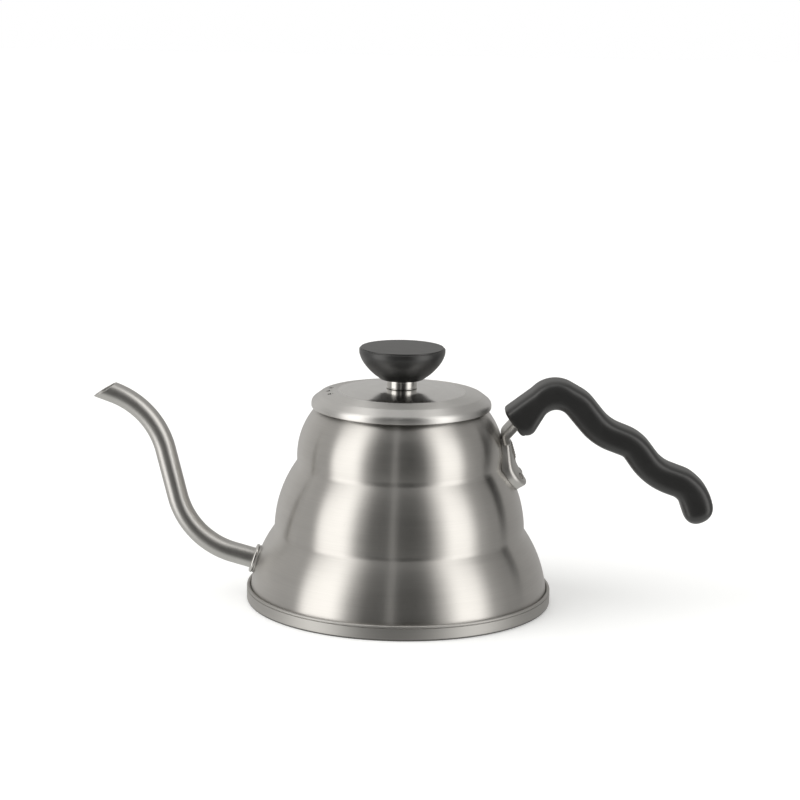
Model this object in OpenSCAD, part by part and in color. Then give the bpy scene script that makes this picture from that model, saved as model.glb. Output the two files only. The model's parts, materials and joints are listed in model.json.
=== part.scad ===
// Stove-top gooseneck kettle with a lift-off lid and a moulded grip on a steel bracket.
// The origin is the centre of the flat rest face. +Z is up, the spout points to -X
// and the grip to +X. All lengths are in millimetres and all angles in degrees.

/* [Body] */
// Outer radius of the body at the mouth
mouth_r = 40; // [39:0.25:41]
// Height of the mouth above the rest face
mouth_z = 92.5; // [91.5:0.25:92.5]
// Outer radius at the upper waist, between the top and middle lobes
upper_waist_r = 48.6; // [48:0.1:49.5]
// Height of the upper waist
upper_waist_z = 66.5; // [65:0.25:68]
// Outer radius at the lower waist, between the middle and bottom lobes
lower_waist_r = 59.1; // [58.5:0.1:60]
// Height of the lower waist
lower_waist_z = 34.5; // [33:0.25:36]
// Outer radius of the body at its foot
foot_r = 70.2; // [69.8:0.1:70.3]
// How far each lobe swells beyond the straight line between its ends, top to bottom
lobe_bulge = [2.9, 2.65, 2.15]; // [2:0.05:3]
// Radius of the soft groove between two lobes
waist_fillet = 4.5; // [3:0.5:6]
// Thickness of the body's sheet
shell_t = 0.8; // [0.6:0.1:1]

/* [Base] */
// Outer radius of the base pan
pan_r = 72; // [72:0.5:76]
// Height of the pan's hemmed rim
pan_h = 7.2; // [6:0.2:8]
// Thickness of the pan's wall, hem included
pan_wall = 1.65; // [1.4:0.05:1.7]
// Thickness of the heat-spreading disc
disc_t = 2.5; // [2:0.25:3]

/* [Spout] */
// Height at which the spout's axis leaves the body
spout_z = 18; // [17:0.5:20]
// Outer radius of the spout tube
spout_r = 4.9; // [4.5:0.1:5.2]
// Thickness of the tube's wall
spout_t = 0.8; // [0.6:0.1:1]
// Angle of the tube above the horizontal where it leaves the body
spout_rise = 15.5; // [14:0.5:18]
// Length of the straight stretch from the body to the first bend
spout_root_len = 11.3; // [10:0.1:13]
// Centre-line radius of the lower bend
lower_bend_r = 38; // [36:0.5:40]
// Angle of the riser above the horizontal
riser_angle = 75.7; // [74:0.1:78]
// Length of the straight riser
riser_len = 23; // [20:0.5:26]
// Centre-line radius of the upper bend
upper_bend_r = 38.8; // [37:0.1:40]
// Angle of the tube above the horizontal at the tip
tip_angle = 20; // [19:0.5:24]
// Reach of the slanted plane that cuts the tip, at the tip's height
tip_reach = 134.1; // [134:0.1:137]
// Height of the tip
tip_z = 102.1; // [102:0.1:103.5]
// Slope of that plane below the horizontal
tip_slope = 32; // [26:1:36]

/* [Lid] */
// Outer radius of the lid's rim
lid_r = 42.3; // [42:0.1:43]
// Height of the lid's lower edge
lid_z = 93.2; // [93:0.1:93.6]
// Height of the crown's centre
crown_z = 102.2; // [102:0.1:103]
// Thickness of the lid's sheet
lid_t = 0.8; // [0.6:0.1:1]
// Radius of the circle on which the steam vents lie
vent_circle = 34; // [32:0.5:34]
// Radius of each steam vent
vent_r = 1.35; // [1:0.05:1.5]
// Angle between two neighbouring vents
vent_pitch = 12.5; // [10:0.5:15]
// Number of vents
vent_count = 3; // [1:1:5]

/* [Knob] */
// Widest radius of the knob
knob_r = 20.2; // [19:0.1:21]
// Height of the knob's flat top above the rest face
knob_top_z = 121.5; // [120.5:0.25:122]
// Radius of the polished ferrule under the knob
ferrule_r = 7.3; // [6.5:0.1:8]
// Height of the ferrule's top face
ferrule_top_z = 106.4; // [105.8:0.1:106.8]

/* [Handle] */
// Width of the grip across the kettle
grip_w = 20; // [18:0.5:22]
// Width of the bracket's foot on the body
bracket_foot_w = 25; // [22:0.5:26]
// Width of the bracket's neck
bracket_neck_w = 16; // [14:0.5:16]
// Thickness of the bracket's sheet
bracket_t = 1.5; // [1.2:0.1:1.6]

/* [Hidden] */
$fn = 96;

steel = [0.72, 0.72, 0.70];
polished = [0.82, 0.82, 0.80];
phenolic = [0.14, 0.14, 0.13];
brass = [0.78, 0.62, 0.32];

// Clearance between pieces that are soldered, pressed or screwed together
seat_gap = 0.05;
// Thickness of the pan's floor and height at which the body stands on it
pan_floor = 1;
// Heights of the inner bottom's underside and of the mouth ring's top face
inner_bottom_z = pan_floor + seat_gap + disc_t + seat_gap;
ring_top_z = 93.2;
// Radii of the throat under the mouth and of the lid's skirt inside it
throat_r = 35.9;
skirt_r = 35.5;
skirt_t = 0.6;
skirt_low_z = 85.5;
// Shank radius of the M4 screws, and the hole they pass through
screw_r = 2;
screw_hole_r = 2.2;

// ---------------------------------------------------------------- outline functions

function unit(v) = v / norm(v);

function left_of(v) = [-v.y, v.x];

function turned(v, a) = [v.x * cos(a) - v.y * sin(a), v.x * sin(a) + v.y * cos(a)];

// Signed angle from direction u to direction w, positive to the left
function turn_angle(u, w) = atan2(cross(u, w), u * w);

// Points on the arc about c that starts at c + spoke and turns through angle a
function arc_about(c, spoke, a, step = 6) =
    let (count = max(2, ceil(abs(a) / step)))
    [for (i = [0:count]) c + turned(spoke, a * i / count)];

// Corner b of a path from a to c, rounded with radius r after the path moves d to its left
function corner(a, b, c, r, d, step = 6) =
    let (
        u = unit(b - a),
        w = unit(c - b),
        turn = turn_angle(u, w),
        side = sign(turn),
        reach = unit(left_of(u) + left_of(w)) / cos(turn / 2),
        radius = r - side * d
    )
    radius > 0.01 && abs(turn) > 0.01
        ? arc_about(b + side * reach * r, -side * radius * left_of(u), turn, step)
        : [b + reach * d];

function flat2(p) = [p[0], p[1]];

// Closed outline through [x, y, corner radius] entries, moved d inwards
function rounded_loop(p, d = 0, step = 9) =
    let (n = len(p))
    [for (i = [0:n - 1])
        each corner(flat2(p[(i + n - 1) % n]), flat2(p[i]), flat2(p[(i + 1) % n]), p[i][2], d, step)];

// Open path through [x, y, corner radius] entries, moved d to its left
function rounded_path(p, d = 0) =
    let (
        n = len(p),
        first = unit(flat2(p[1]) - flat2(p[0])),
        last = unit(flat2(p[n - 1]) - flat2(p[n - 2]))
    )
    [
        flat2(p[0]) + d * left_of(first),
        for (i = [1:n - 2]) each corner(flat2(p[i - 1]), flat2(p[i]), flat2(p[i + 1]), p[i][2], d),
        flat2(p[n - 1]) + d * left_of(last)
    ];

function reversed(p) = [for (i = [len(p) - 1:-1:0]) p[i]];

// ---------------------------------------------------------------- body outline

// Circle [centre, radius] through p and q whose arc swells s to the left of the way p to q
function swelling_circle(p, q, s) =
    let (
        chord = norm(q - p),
        radius = (chord * chord / 4 + s * s) / (2 * s)
    )
    [(p + q) / 2 - left_of(unit(q - p)) * (radius - s), radius];

mouth_point = [mouth_r, mouth_z];
upper_waist = [upper_waist_r, upper_waist_z];
lower_waist = [lower_waist_r, lower_waist_z];
foot_edge_z = 5.2;
foot_point = [foot_r, foot_edge_z];
top_lobe = swelling_circle(mouth_point, upper_waist, lobe_bulge[0]);
middle_lobe = swelling_circle(upper_waist, lower_waist, lobe_bulge[1]);
bottom_lobe = swelling_circle(lower_waist, foot_point, lobe_bulge[2]);

// Centre of the groove of radius waist_fillet that touches lobes a and b from outside
function groove_centre(a, b) =
    let (
        along = unit(b[0] - a[0]),
        gap = norm(b[0] - a[0]),
        ra = a[1] + waist_fillet,
        rb = b[1] + waist_fillet,
        run = (ra * ra - rb * rb + gap * gap) / (2 * gap)
    )
    a[0] + run * along + sqrt(ra * ra - run * run) * left_of(along);

upper_groove = groove_centre(top_lobe, middle_lobe);
lower_groove = groove_centre(middle_lobe, bottom_lobe);

// Arc of lobe from the direction of p to the direction of q, moved d inwards
function lobe_arc(lobe, p, q, d) =
    let (u = unit(p - lobe[0]), w = unit(q - lobe[0]))
    arc_about(lobe[0], u * (lobe[1] - d), turn_angle(u, w), 3);

// Arc of the groove at c from the side of lobe a to the side of lobe b, moved d inwards
function groove_arc(c, a, b, d) =
    let (u = unit(a[0] - c), w = unit(b[0] - c))
    arc_about(c, u * (waist_fillet + d), turn_angle(u, w), 6);

// Body outline from the mouth down to the foot, moved d inwards
function body_outline(d) = concat(
    lobe_arc(top_lobe, mouth_point, upper_groove, d),
    groove_arc(upper_groove, top_lobe, middle_lobe, d),
    lobe_arc(middle_lobe, upper_groove, lower_groove, d),
    groove_arc(lower_groove, middle_lobe, bottom_lobe, d),
    lobe_arc(bottom_lobe, lower_groove, foot_point, d)
);

// Outer radius of the bottom lobe at height z
function bottom_lobe_r(z) =
    bottom_lobe[0].x + sqrt(pow(bottom_lobe[1], 2) - pow(z - bottom_lobe[0].y, 2));

// Solid that the body's outer surface encloses, used to seat pieces on it
module body_envelope() {
    rotate_extrude()
        polygon(concat([[0, pan_floor], [0, mouth_z]], body_outline(0), [[foot_r, pan_floor]]));
}

// ---------------------------------------------------------------- body and base

module body_shell() {
    wall = concat(
        body_outline(0),
        [[foot_r, pan_floor + seat_gap], [foot_r - shell_t, pan_floor + seat_gap]],
        reversed(body_outline(shell_t))
    );
    color(steel)
    difference() {
        rotate_extrude() polygon(wall);
        spout_hole();
    }
}

// Flanged sleeve in the mouth: the lid rests on its top face and its skirt drops inside
module mouth_ring() {
    flange_t = ring_top_z - mouth_z - seat_gap;
    flange_r = mouth_r + 0.2;
    sleeve_r = throat_r + 0.8;
    sleeve_low_z = skirt_low_z - 1;
    color(steel)
    rotate_extrude()
        polygon(rounded_loop([
            [throat_r, sleeve_low_z, 0.3],
            [sleeve_r, sleeve_low_z, 0.3],
            [sleeve_r, ring_top_z - flange_t, 0],
            [flange_r, ring_top_z - flange_t, flange_t * 0.45],
            [flange_r, ring_top_z, flange_t * 0.45],
            [throat_r, ring_top_z, 0.4]
        ]));
}

// Water-side bottom: a shallow dish with an upturned edge inside the body
module inner_bottom() {
    dish_r = foot_r - shell_t - seat_gap;
    dish_t = 0.8;
    edge_z = inner_bottom_z + 1.2;
    color(steel)
    rotate_extrude()
        polygon([
            [0, inner_bottom_z],
            [dish_r, inner_bottom_z],
            [dish_r, edge_z],
            [dish_r - dish_t, edge_z],
            [dish_r - dish_t, inner_bottom_z + dish_t],
            [0, inner_bottom_z + dish_t]
        ]);
}

module heat_disc() {
    room_for_dish = 3;
    color("gainsboro")
    translate([0, 0, pan_floor + seat_gap])
        cylinder(h = disc_t, r = foot_r - shell_t - room_for_dish);
}

// Outer pan with a rounded bottom edge and a hemmed rim round the body's foot
module base_pan() {
    color(polished)
    rotate_extrude()
        polygon(concat(
            [[0, 0]],
            rounded_path([
                [pan_r - 6, 0, 0],
                [pan_r, 0, 1],
                [pan_r, pan_h, pan_wall * 0.49],
                [pan_r - pan_wall, pan_h, pan_wall * 0.49],
                [pan_r - pan_wall, pan_floor, 0]
            ]),
            [[0, pan_floor]]
        ));
}

// ---------------------------------------------------------------- spout

spout_root = [-bottom_lobe_r(spout_z), spout_z];

// Frame at the spout's root: +Z along the tube away from the body
module at_spout_root() {
    translate([spout_root.x, 0, spout_root.y])
        rotate([0, spout_rise - 90, 0])
            children();
}

// Room for the tube through the pieces at its root
module spout_hole() {
    reach = 12;
    at_spout_root()
        translate([0, 0, -reach])
            cylinder(h = 2 * reach, r = spout_r + seat_gap);
}

tube_sides = 24;
inside_len = 4;

// Direction in the X-Z plane that rises by angle a while it runs away from the body
function heading(a) = [-cos(a), sin(a)];

// Stations [x, z, heading angle] along a bend of radius r from point p
function bend_stations(p, from, to, r, count = 11) =
    let (side = sign(to - from))
    [
        for (i = [0:count])
            let (t = from + (to - from) * i / count)
            concat(p - side * r * [sin(t) - sin(from), cos(t) - cos(from)], [t])
    ];

lower_bend = bend_stations(
    spout_root + spout_root_len * heading(spout_rise), spout_rise, riser_angle, lower_bend_r);
upper_bend = bend_stations(
    flat2(lower_bend[11]) + riser_len * heading(riser_angle), riser_angle, tip_angle, upper_bend_r);
spout_stations = concat(
    [concat(spout_root - inside_len * heading(spout_rise), [spout_rise])],
    lower_bend,
    upper_bend
);

// Ring of points of radius r square to the axis at station s
function tube_ring(s, r) = [
    for (i = [0:tube_sides - 1])
        let (a = 360 * i / tube_sides)
        [s[0] + r * cos(a) * sin(s[2]), r * sin(a), s[1] + r * cos(a) * cos(s[2])]
];

// The ring carried along the last heading on to the slanted plane that cuts the tip
function tip_ring(r) =
    let (
        last = spout_stations[len(spout_stations) - 1],
        way = heading(last[2]),
        square = [-sin(tip_slope), cos(tip_slope)],
        tip_cut = [-tip_reach, tip_z]
    )
    [
        for (q = tube_ring(last, r))
            let (t = ((tip_cut - [q.x, q.z]) * square) / (way * square))
            [q.x + t * way.x, q.y, q.z + t * way.y]
    ];

function tube_points(r) = concat([for (s = spout_stations) each tube_ring(s, r)], tip_ring(r));

// Tube with an S-shaped axis: an outer and an inner skin joined by a rim at each end
module spout_tube() {
    rows = len(spout_stations) + 1;
    skin = rows * tube_sides;
    last = skin - tube_sides;
    outer = [
        for (j = [0:rows - 2], i = [0:tube_sides - 1])
            let (k = (i + 1) % tube_sides, a = j * tube_sides)
            [a + i, a + k, a + tube_sides + k, a + tube_sides + i]
    ];
    inner = [for (f = outer) [skin + f[3], skin + f[2], skin + f[1], skin + f[0]]];
    root_rim = [
        for (i = [0:tube_sides - 1])
            let (k = (i + 1) % tube_sides)
            [skin + i, skin + k, k, i]
    ];
    tip_rim = [for (f = root_rim) [last + f[3], last + f[2], last + f[1], last + f[0]]];
    color(steel)
    polyhedron(
        points = concat(tube_points(spout_r), tube_points(spout_r - spout_t)),
        faces = concat(outer, inner, root_rim, tip_rim)
    );
}

// Direction square to the body at the spout's root, above the horizontal
root_slope = atan2(spout_z - bottom_lobe[0].y, -spout_root.x - bottom_lobe[0].x);
saddle_r = 6.6;
saddle_let_in = 0.45;
saddle_proud = 0.7;
flange_t = 1.4;
flange_bead = 0.35;

// Disc round the spout's root, from low to high above the body, with a bore for the tube
module root_disc(radius, low, high) {
    difference() {
        translate([spout_root.x, 0, spout_root.y])
            rotate([0, root_slope - 90, 0])
                translate([0, 0, low])
                    cylinder(h = high - low, r = radius);
        spout_hole();
    }
}

// Soldered ring between the body and the flange, let into the body's surface
module spout_saddle() {
    color(steel) root_disc(saddle_r, -saddle_let_in, saddle_proud);
}

module spout_flange() {
    color(polished)
    union() {
        root_disc(saddle_r, saddle_proud, saddle_proud + flange_t);
        root_disc(
            saddle_r + flange_bead, saddle_proud + flange_bead, saddle_proud + flange_t - flange_bead);
    }
}

// ---------------------------------------------------------------- lid and knob

// Where the crown starts to fall, the crease round it, and the shoulder above the brim
crown_flat_r = 14.9;
crease_r = 29.7;
crease_drop = 1.45;
shoulder_r = 38;
shoulder_drop = 2.85;
brim_h = 2.9;

// Crown, shoulder and rim of the lid, from its screw hole out to its lower edge
lid_path = [
    [screw_hole_r, crown_z, 0],
    [crown_flat_r, crown_z, 240],
    [crease_r, crown_z - crease_drop, 0],
    [shoulder_r, crown_z - shoulder_drop, 2.2],
    [lid_r, lid_z + brim_h, 2.6],
    [lid_r, lid_z, 0]
];

module lid_cap() {
    color(steel)
    difference() {
        rotate_extrude()
            polygon(concat(rounded_path(lid_path), reversed(rounded_path(lid_path, -lid_t))));
        for (i = [0:vent_count - 1])
            rotate([0, 0, 180 + (i - (vent_count - 1) / 2) * vent_pitch])
                translate([vent_circle, 0, crown_z - 6])
                    cylinder(h = 12, r = vent_r, $fn = 32);
    }
}

// Guide ring under the lid: a sleeve that drops into the throat and a flange that rests
module lid_skirt() {
    top_z = crown_z - 3.95;
    flange_r = skirt_r + 3;
    color(steel)
    rotate_extrude()
        polygon([
            [skirt_r - skirt_t, skirt_low_z],
            [skirt_r, skirt_low_z],
            [skirt_r, ring_top_z],
            [flange_r, ring_top_z],
            [flange_r, ring_top_z + skirt_t],
            [skirt_r, ring_top_z + skirt_t],
            [skirt_r, top_z],
            [skirt_r - skirt_t, top_z]
        ]);
}

// Spacer between the crown and the knob
module knob_ferrule() {
    color(polished)
    rotate_extrude()
        polygon(rounded_loop([
            [screw_hole_r, crown_z + seat_gap, 0],
            [ferrule_r, crown_z + seat_gap, 0.3],
            [ferrule_r, ferrule_top_z, 0.5],
            [screw_hole_r, ferrule_top_z, 0]
        ]));
}

insert_r = 4;
insert_h = 9;

// Bowl-shaped knob: flat top, rounded rim and a round belly down to a small flat foot
module knob() {
    foot_z = ferrule_top_z + seat_gap;
    pocket_r = insert_r + seat_gap;
    pocket_z = foot_z + insert_h + 0.5;
    color(phenolic)
    rotate_extrude()
        polygon(rounded_loop([
            [pocket_r, foot_z, 0],
            [knob_r / 2, foot_z, 0.8],
            [knob_r * 0.723, foot_z + 3.4, 22],
            [knob_r - 1.1, knob_top_z - 6.3, 14],
            [knob_r, knob_top_z - 2.4, 4],
            [knob_r, knob_top_z, 0.8],
            [0, knob_top_z, 0],
            [0, pocket_z, 0],
            [pocket_r, pocket_z, 0]
        ]));
}

// Threaded brass insert moulded into the knob
module knob_insert() {
    color(brass)
    difference() {
        translate([0, 0, ferrule_top_z + seat_gap]) cylinder(h = insert_h, r = insert_r);
        translate([0, 0, ferrule_top_z - 1]) cylinder(h = insert_h + 2, r = screw_r + seat_gap);
    }
}

washer_t = 0.8;
knob_washer_r = 5;
knob_washer_z = crown_z - lid_t - seat_gap - 0.2 - washer_t;

module knob_washer() {
    color(polished)
    translate([0, 0, knob_washer_z])
        difference() {
            cylinder(h = washer_t, r = knob_washer_r);
            translate([0, 0, -1]) cylinder(h = washer_t + 2, r = screw_hole_r);
        }
}

// Pan-head screw pointing up, with its head's underside at height z
module pan_head_screw(length, z) {
    head_r = 3.8;
    head_h = 2.4;
    slot_len = 4;
    slot_w = 0.8;
    slot_depth = 1.2;
    color(polished)
    translate([0, 0, z])
        difference() {
            rotate_extrude()
                polygon(rounded_loop([
                    [0, -head_h, 0],
                    [head_r, -head_h, 1.2],
                    [head_r, 0, 0.1],
                    [screw_r, 0, 0],
                    [screw_r, length, 0.3],
                    [0, length, 0]
                ]));
            for (a = [0, 90])
                rotate([0, 0, a])
                    translate([-slot_len / 2, -slot_w / 2, -head_h - 1])
                        cube([slot_len, slot_w, slot_depth + 1]);
        }
}

knob_screw_len = 12;

module knob_screw() {
    pan_head_screw(knob_screw_len, knob_washer_z - seat_gap);
}

// ---------------------------------------------------------------- handle

// Side outline of the grip in X and Z with corner radii: end face, finger guard,
// arched underside, curled tip and the back over the hump
grip_points = [
    [48.4, 92.8, 2],
    [49.5, 90, 1.5],
    [59.8, 78, 4.5],
    [71.6, 98.4, 6.5],
    [89.4, 77.5, 31.5],
    [104.5, 72, 4],
    [114.6, 58, 35],
    [131, 52.4, 6.5],
    [136.4, 37.4, 6.6],
    [149.4, 43, 8],
    [145.5, 57.4, 21.5],
    [137, 64.5, 16.5],
    [123.6, 69.4, 16],
    [113.6, 82.5, 23.5],
    [98.4, 88.4, 19],
    [88, 101, 19.5],
    [70, 111.1, 15],
    [61, 102.4, 10]
];

// Extrusion of an X-Z outline, centred on the kettle's plane of symmetry
module side_plate(outline, width) {
    rotate([90, 0, 0])
        linear_extrude(height = width, center = true)
            polygon(outline);
}

// The bracket's tongue inside the grip: a strip that climbs from the neck and lies level
tongue_w = 11;
tongue_z = 100.5;
tongue_t = 2;
tongue_end_x = 79;
tongue_points = [
    [47.5, 80.5],
    [55, 89],
    [65.5, tongue_z],
    [tongue_end_x, tongue_z],
    [tongue_end_x, tongue_z + tongue_t],
    [64.6, tongue_z + tongue_t],
    [53.6, 90.4],
    [46, 82]
];

// Slot in the grip, open at the end face, a little larger than the tongue
slot_gap = 0.25;
slot_points = [
    [44, 76.5],
    [55.3, 88.7],
    [65.8, tongue_z - slot_gap],
    [tongue_end_x + slot_gap, tongue_z - slot_gap],
    [tongue_end_x + slot_gap, tongue_z + tongue_t + slot_gap],
    [64.5, tongue_z + tongue_t + slot_gap],
    [53.2, 90.9],
    [41, 79.5]
];

// Screw that holds the tongue from below, sunk in the arch, and its captive thin nut
screw_x = 72.5;
screw_seat_z = 97;
nut_z = tongue_z + tongue_t + 0.35;
nut_h = 2.4;
nut_r = 4;
grip_screw_len = 9;

module handle_grip() {
    bore_z = 80;
    bore_r = 4.4;
    pocket_z = nut_z - 1;
    pocket_h = nut_h + 1.3;
    color(phenolic)
    difference() {
        side_plate(rounded_loop(grip_points), grip_w);
        side_plate(slot_points, tongue_w + 0.4);
        translate([screw_x, 0, bore_z]) cylinder(h = screw_seat_z - bore_z, r = bore_r);
        translate([screw_x, 0, screw_seat_z - 1]) cylinder(h = 5, r = screw_hole_r);
        translate([screw_x, 0, pocket_z]) cylinder(h = pocket_h, r = nut_r + 0.3, $fn = 6);
    }
}

module handle_screw() {
    translate([screw_x, 0, 0]) pan_head_screw(grip_screw_len, screw_seat_z - washer_t - seat_gap * 2);
}

module handle_washer() {
    washer_r = 4.2;
    color(polished)
    translate([screw_x, 0, screw_seat_z - washer_t - seat_gap])
        difference() {
            cylinder(h = washer_t, r = washer_r);
            translate([0, 0, -1]) cylinder(h = washer_t + 2, r = screw_hole_r);
        }
}

module handle_nut() {
    color(polished)
    translate([screw_x, 0, nut_z])
        difference() {
            cylinder(h = nut_h, r = nut_r, $fn = 6);
            translate([0, 0, -1]) cylinder(h = nut_h + 2, r = screw_r + seat_gap);
        }
}

// Height at which the neck is welded on to the foot, and the hand side's reach there
bracket_split_z = 77;
bracket_hand_x = 51.9;
neck_low_z = bracket_split_z + 0.1;

// Foot: a dished channel whose open side and rounded end close on the body
module bracket_foot() {
    hand_side = [
        [40, bracket_split_z, 0],
        [bracket_hand_x, bracket_split_z, 0],
        [54, 66.3, 8],
        [60.2, 57.2, 3.4],
        [55.5, 54.6, 2.5],
        [40, 58, 0]
    ];
    color(polished)
    difference() {
        bracket_channel(hand_side, bracket_foot_w);
        body_envelope();
    }
}

// Side plate hollowed to a channel: the sheet covers the outline's hand side and both flanks
module bracket_channel(outline, width) {
    difference() {
        side_plate(rounded_loop(outline), width);
        translate([-bracket_t, 0, 0])
            side_plate(rounded_loop(outline, 0.01), width - 2 * bracket_t);
    }
}

// Neck: a narrower channel up to the grip, with the tongue that runs inside the grip
module bracket_neck() {
    color(polished)
    difference() {
        union() {
            bracket_channel([
                [46.2, neck_low_z, 0],
                [bracket_hand_x, neck_low_z, 0],
                [51.6, 80.2, 4],
                [55.2, 83.4, 0],
                [51.2, 88.0, 0],
                [46.6, 83.8, 4]
            ], bracket_neck_w);
            side_plate(tongue_points, tongue_w);
        }
        body_envelope();
        translate([screw_x, 0, 80]) cylinder(h = 30, r = screw_hole_r);
    }
}

// Bead across the hand side where the neck meets the foot
module bracket_weld() {
    bead_r = 0.9;
    color(steel)
    translate([bracket_hand_x, 0, bracket_split_z])
        rotate([90, 0, 0])
            cylinder(h = bracket_neck_w - 2, r = bead_r, center = true);
}

// Two spot welds side by side on the foot's round end
module spot_welds() {
    spot_y = 6;
    spot_r = 1.8;
    spot_h = 0.4;
    color(steel)
    for (y = [-spot_y, spot_y])
        translate([58.6, y, 59.6])
            rotate([0, 70, 0])
                cylinder(h = spot_h, r = spot_r);
}

body_shell();
mouth_ring();
inner_bottom();
heat_disc();
base_pan();
spout_tube();
spout_flange();
spout_saddle();
lid_skirt();
lid_cap();
knob_ferrule();
knob();
knob_insert();
knob_screw();
knob_washer();
bracket_foot();
bracket_neck();
bracket_weld();
spot_welds();
handle_grip();
handle_screw();
handle_washer();
handle_nut();
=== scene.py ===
"""Stove-top gooseneck kettle: smooth visible pieces, finishes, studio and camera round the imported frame.

Shapes are worked out in millimetres in the frame's axes: +Z up, the spout towards -X, the grip
towards +X. A Surface turns an array of points into a mesh in metres.
"""

import json
import logging
from dataclasses import dataclass, field
from enum import Enum

import bmesh
import bpy
import numpy as np
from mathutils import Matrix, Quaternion, Vector


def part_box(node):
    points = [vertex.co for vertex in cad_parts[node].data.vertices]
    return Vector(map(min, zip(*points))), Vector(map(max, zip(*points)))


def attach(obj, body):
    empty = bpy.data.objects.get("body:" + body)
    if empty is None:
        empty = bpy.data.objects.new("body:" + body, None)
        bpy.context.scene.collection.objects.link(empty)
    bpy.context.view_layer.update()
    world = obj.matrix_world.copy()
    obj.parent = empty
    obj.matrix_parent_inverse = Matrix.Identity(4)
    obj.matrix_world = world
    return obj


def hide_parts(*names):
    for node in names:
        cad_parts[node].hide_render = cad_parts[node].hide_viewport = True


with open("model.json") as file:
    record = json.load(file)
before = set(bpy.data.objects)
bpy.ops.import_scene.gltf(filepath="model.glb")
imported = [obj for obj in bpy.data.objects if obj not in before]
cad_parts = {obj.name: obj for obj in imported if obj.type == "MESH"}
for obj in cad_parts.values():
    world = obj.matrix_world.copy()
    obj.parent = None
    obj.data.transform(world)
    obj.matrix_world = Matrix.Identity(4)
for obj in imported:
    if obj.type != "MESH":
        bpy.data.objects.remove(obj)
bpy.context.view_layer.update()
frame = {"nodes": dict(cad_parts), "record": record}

MM = 0.001  # one millimetre in metres
GAP = 0.05  # room between soldered, pressed or threaded pieces
SHARP = 38.0  # angle between faces above which their edge stays sharp, in degrees
ACROSS = np.array([0.0, 1.0, 0.0])
UP = np.array([0.0, 0.0, 1.0])
log = logging.getLogger("kettle")

Colour = tuple[float, float, float]
Corner = tuple[float, float, float]
Pair = tuple[float, float]
Inputs = dict[str | int, object]
Socket = bpy.types.NodeSocket


# ------------------------------------------------------------------ outlines


def left_of(way: np.ndarray) -> np.ndarray:
    """The direction a quarter turn to the left of a 2D direction."""
    return np.array([-way[1], way[0]])


def unit(way: np.ndarray) -> np.ndarray:
    """A direction of length 1."""
    return way / np.linalg.norm(way)


def signed_angle(first: np.ndarray, second: np.ndarray) -> float:
    """Angle from one 2D direction to another, positive to the left, in radians."""
    return float(np.arctan2(first[0] * second[1] - first[1] * second[0], first @ second))


def arc(centre: np.ndarray, spoke: np.ndarray, turn: float, step: float) -> np.ndarray:
    """Points on the circle about centre that start at centre + spoke and turn evenly.

    Args:
        centre: Centre of the circle.
        spoke: From the centre to the first point.
        turn: Angle from the first point to the last, in radians, positive to the left.
        step: Largest angle between two points, in degrees.

    Returns:
        The points, one a row.
    """
    count = max(2, int(np.ceil(abs(np.degrees(turn)) / step)))
    angle = np.linspace(0, turn, count + 1)[:, None]
    return centre + spoke * np.cos(angle) + left_of(spoke) * np.sin(angle)


def circle(first: np.ndarray, second: np.ndarray, columns: int) -> np.ndarray:
    """Spokes first cos a + second sin a, for evenly spaced angles a of a whole turn."""
    angle = np.linspace(0, 2 * np.pi, columns, endpoint=False)[:, None]
    return np.cos(angle) * first + np.sin(angle) * second


def rounded(corners: list[Corner], closed: bool = False, inset: float = 0.0, step: float = 6.0) -> np.ndarray:
    """Outline through corners, each one replaced by an arc that touches both of its sides.

    Args:
        corners: (a, b, radius) entries; a radius of 0 keeps the corner sharp.
        closed: Whether the last corner joins the first.
        inset: How far the whole outline moves to its left.
        step: Largest angle between two points of an arc, in degrees.

    Returns:
        The outline's points, one a row.
    """
    least_radius, least_turn = 0.01, 1e-3
    spots = np.array([c[:2] for c in corners], float)
    count = len(corners)
    pieces = []
    for i, (_, _, radius) in enumerate(corners):
        before, here, after = spots[i - 1], spots[i], spots[(i + 1) % count]
        if not closed and i in (0, count - 1):
            way = unit(spots[1] - spots[0]) if i == 0 else unit(spots[-1] - spots[-2])
            pieces.append((here + inset * left_of(way))[None])
            continue
        u, w = unit(here - before), unit(after - here)
        turn = signed_angle(u, w)
        side = np.sign(turn)
        reach = unit(left_of(u) + left_of(w)) / np.cos(turn / 2)
        moved = radius - side * inset
        if moved > least_radius and abs(turn) > least_turn:
            pieces.append(arc(here + side * reach * radius, -side * moved * left_of(u), turn, step))
        else:
            pieces.append((here + inset * reach)[None])
    return np.concatenate(pieces)


def evened(path: np.ndarray, gap: float, closed: bool = False) -> np.ndarray:
    """The same line with points added on every stretch that is longer than gap.

    Args:
        path: Points, one a row.
        gap: Largest distance between two points.
        closed: Whether the last point joins the first.

    Returns:
        The denser line.
    """
    line = np.vstack([path, path[:1]]) if closed else path
    length = np.linalg.norm(np.diff(line, axis=0), axis=1)
    counts = np.maximum(1, np.ceil(length / gap).astype(int))
    index = np.repeat(np.arange(len(counts)), counts)
    share = (np.arange(len(index)) - np.repeat(np.cumsum(counts) - counts, counts)) / counts[index]
    dense = line[index] + (line[index + 1] - line[index]) * share[:, None]
    return dense if closed else np.vstack([dense, line[-1:]])


def run_length(path: np.ndarray) -> np.ndarray:
    """Distance along a line at each of its points."""
    return np.concatenate([[0.0], np.cumsum(np.linalg.norm(np.diff(path, axis=0), axis=1))])


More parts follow.
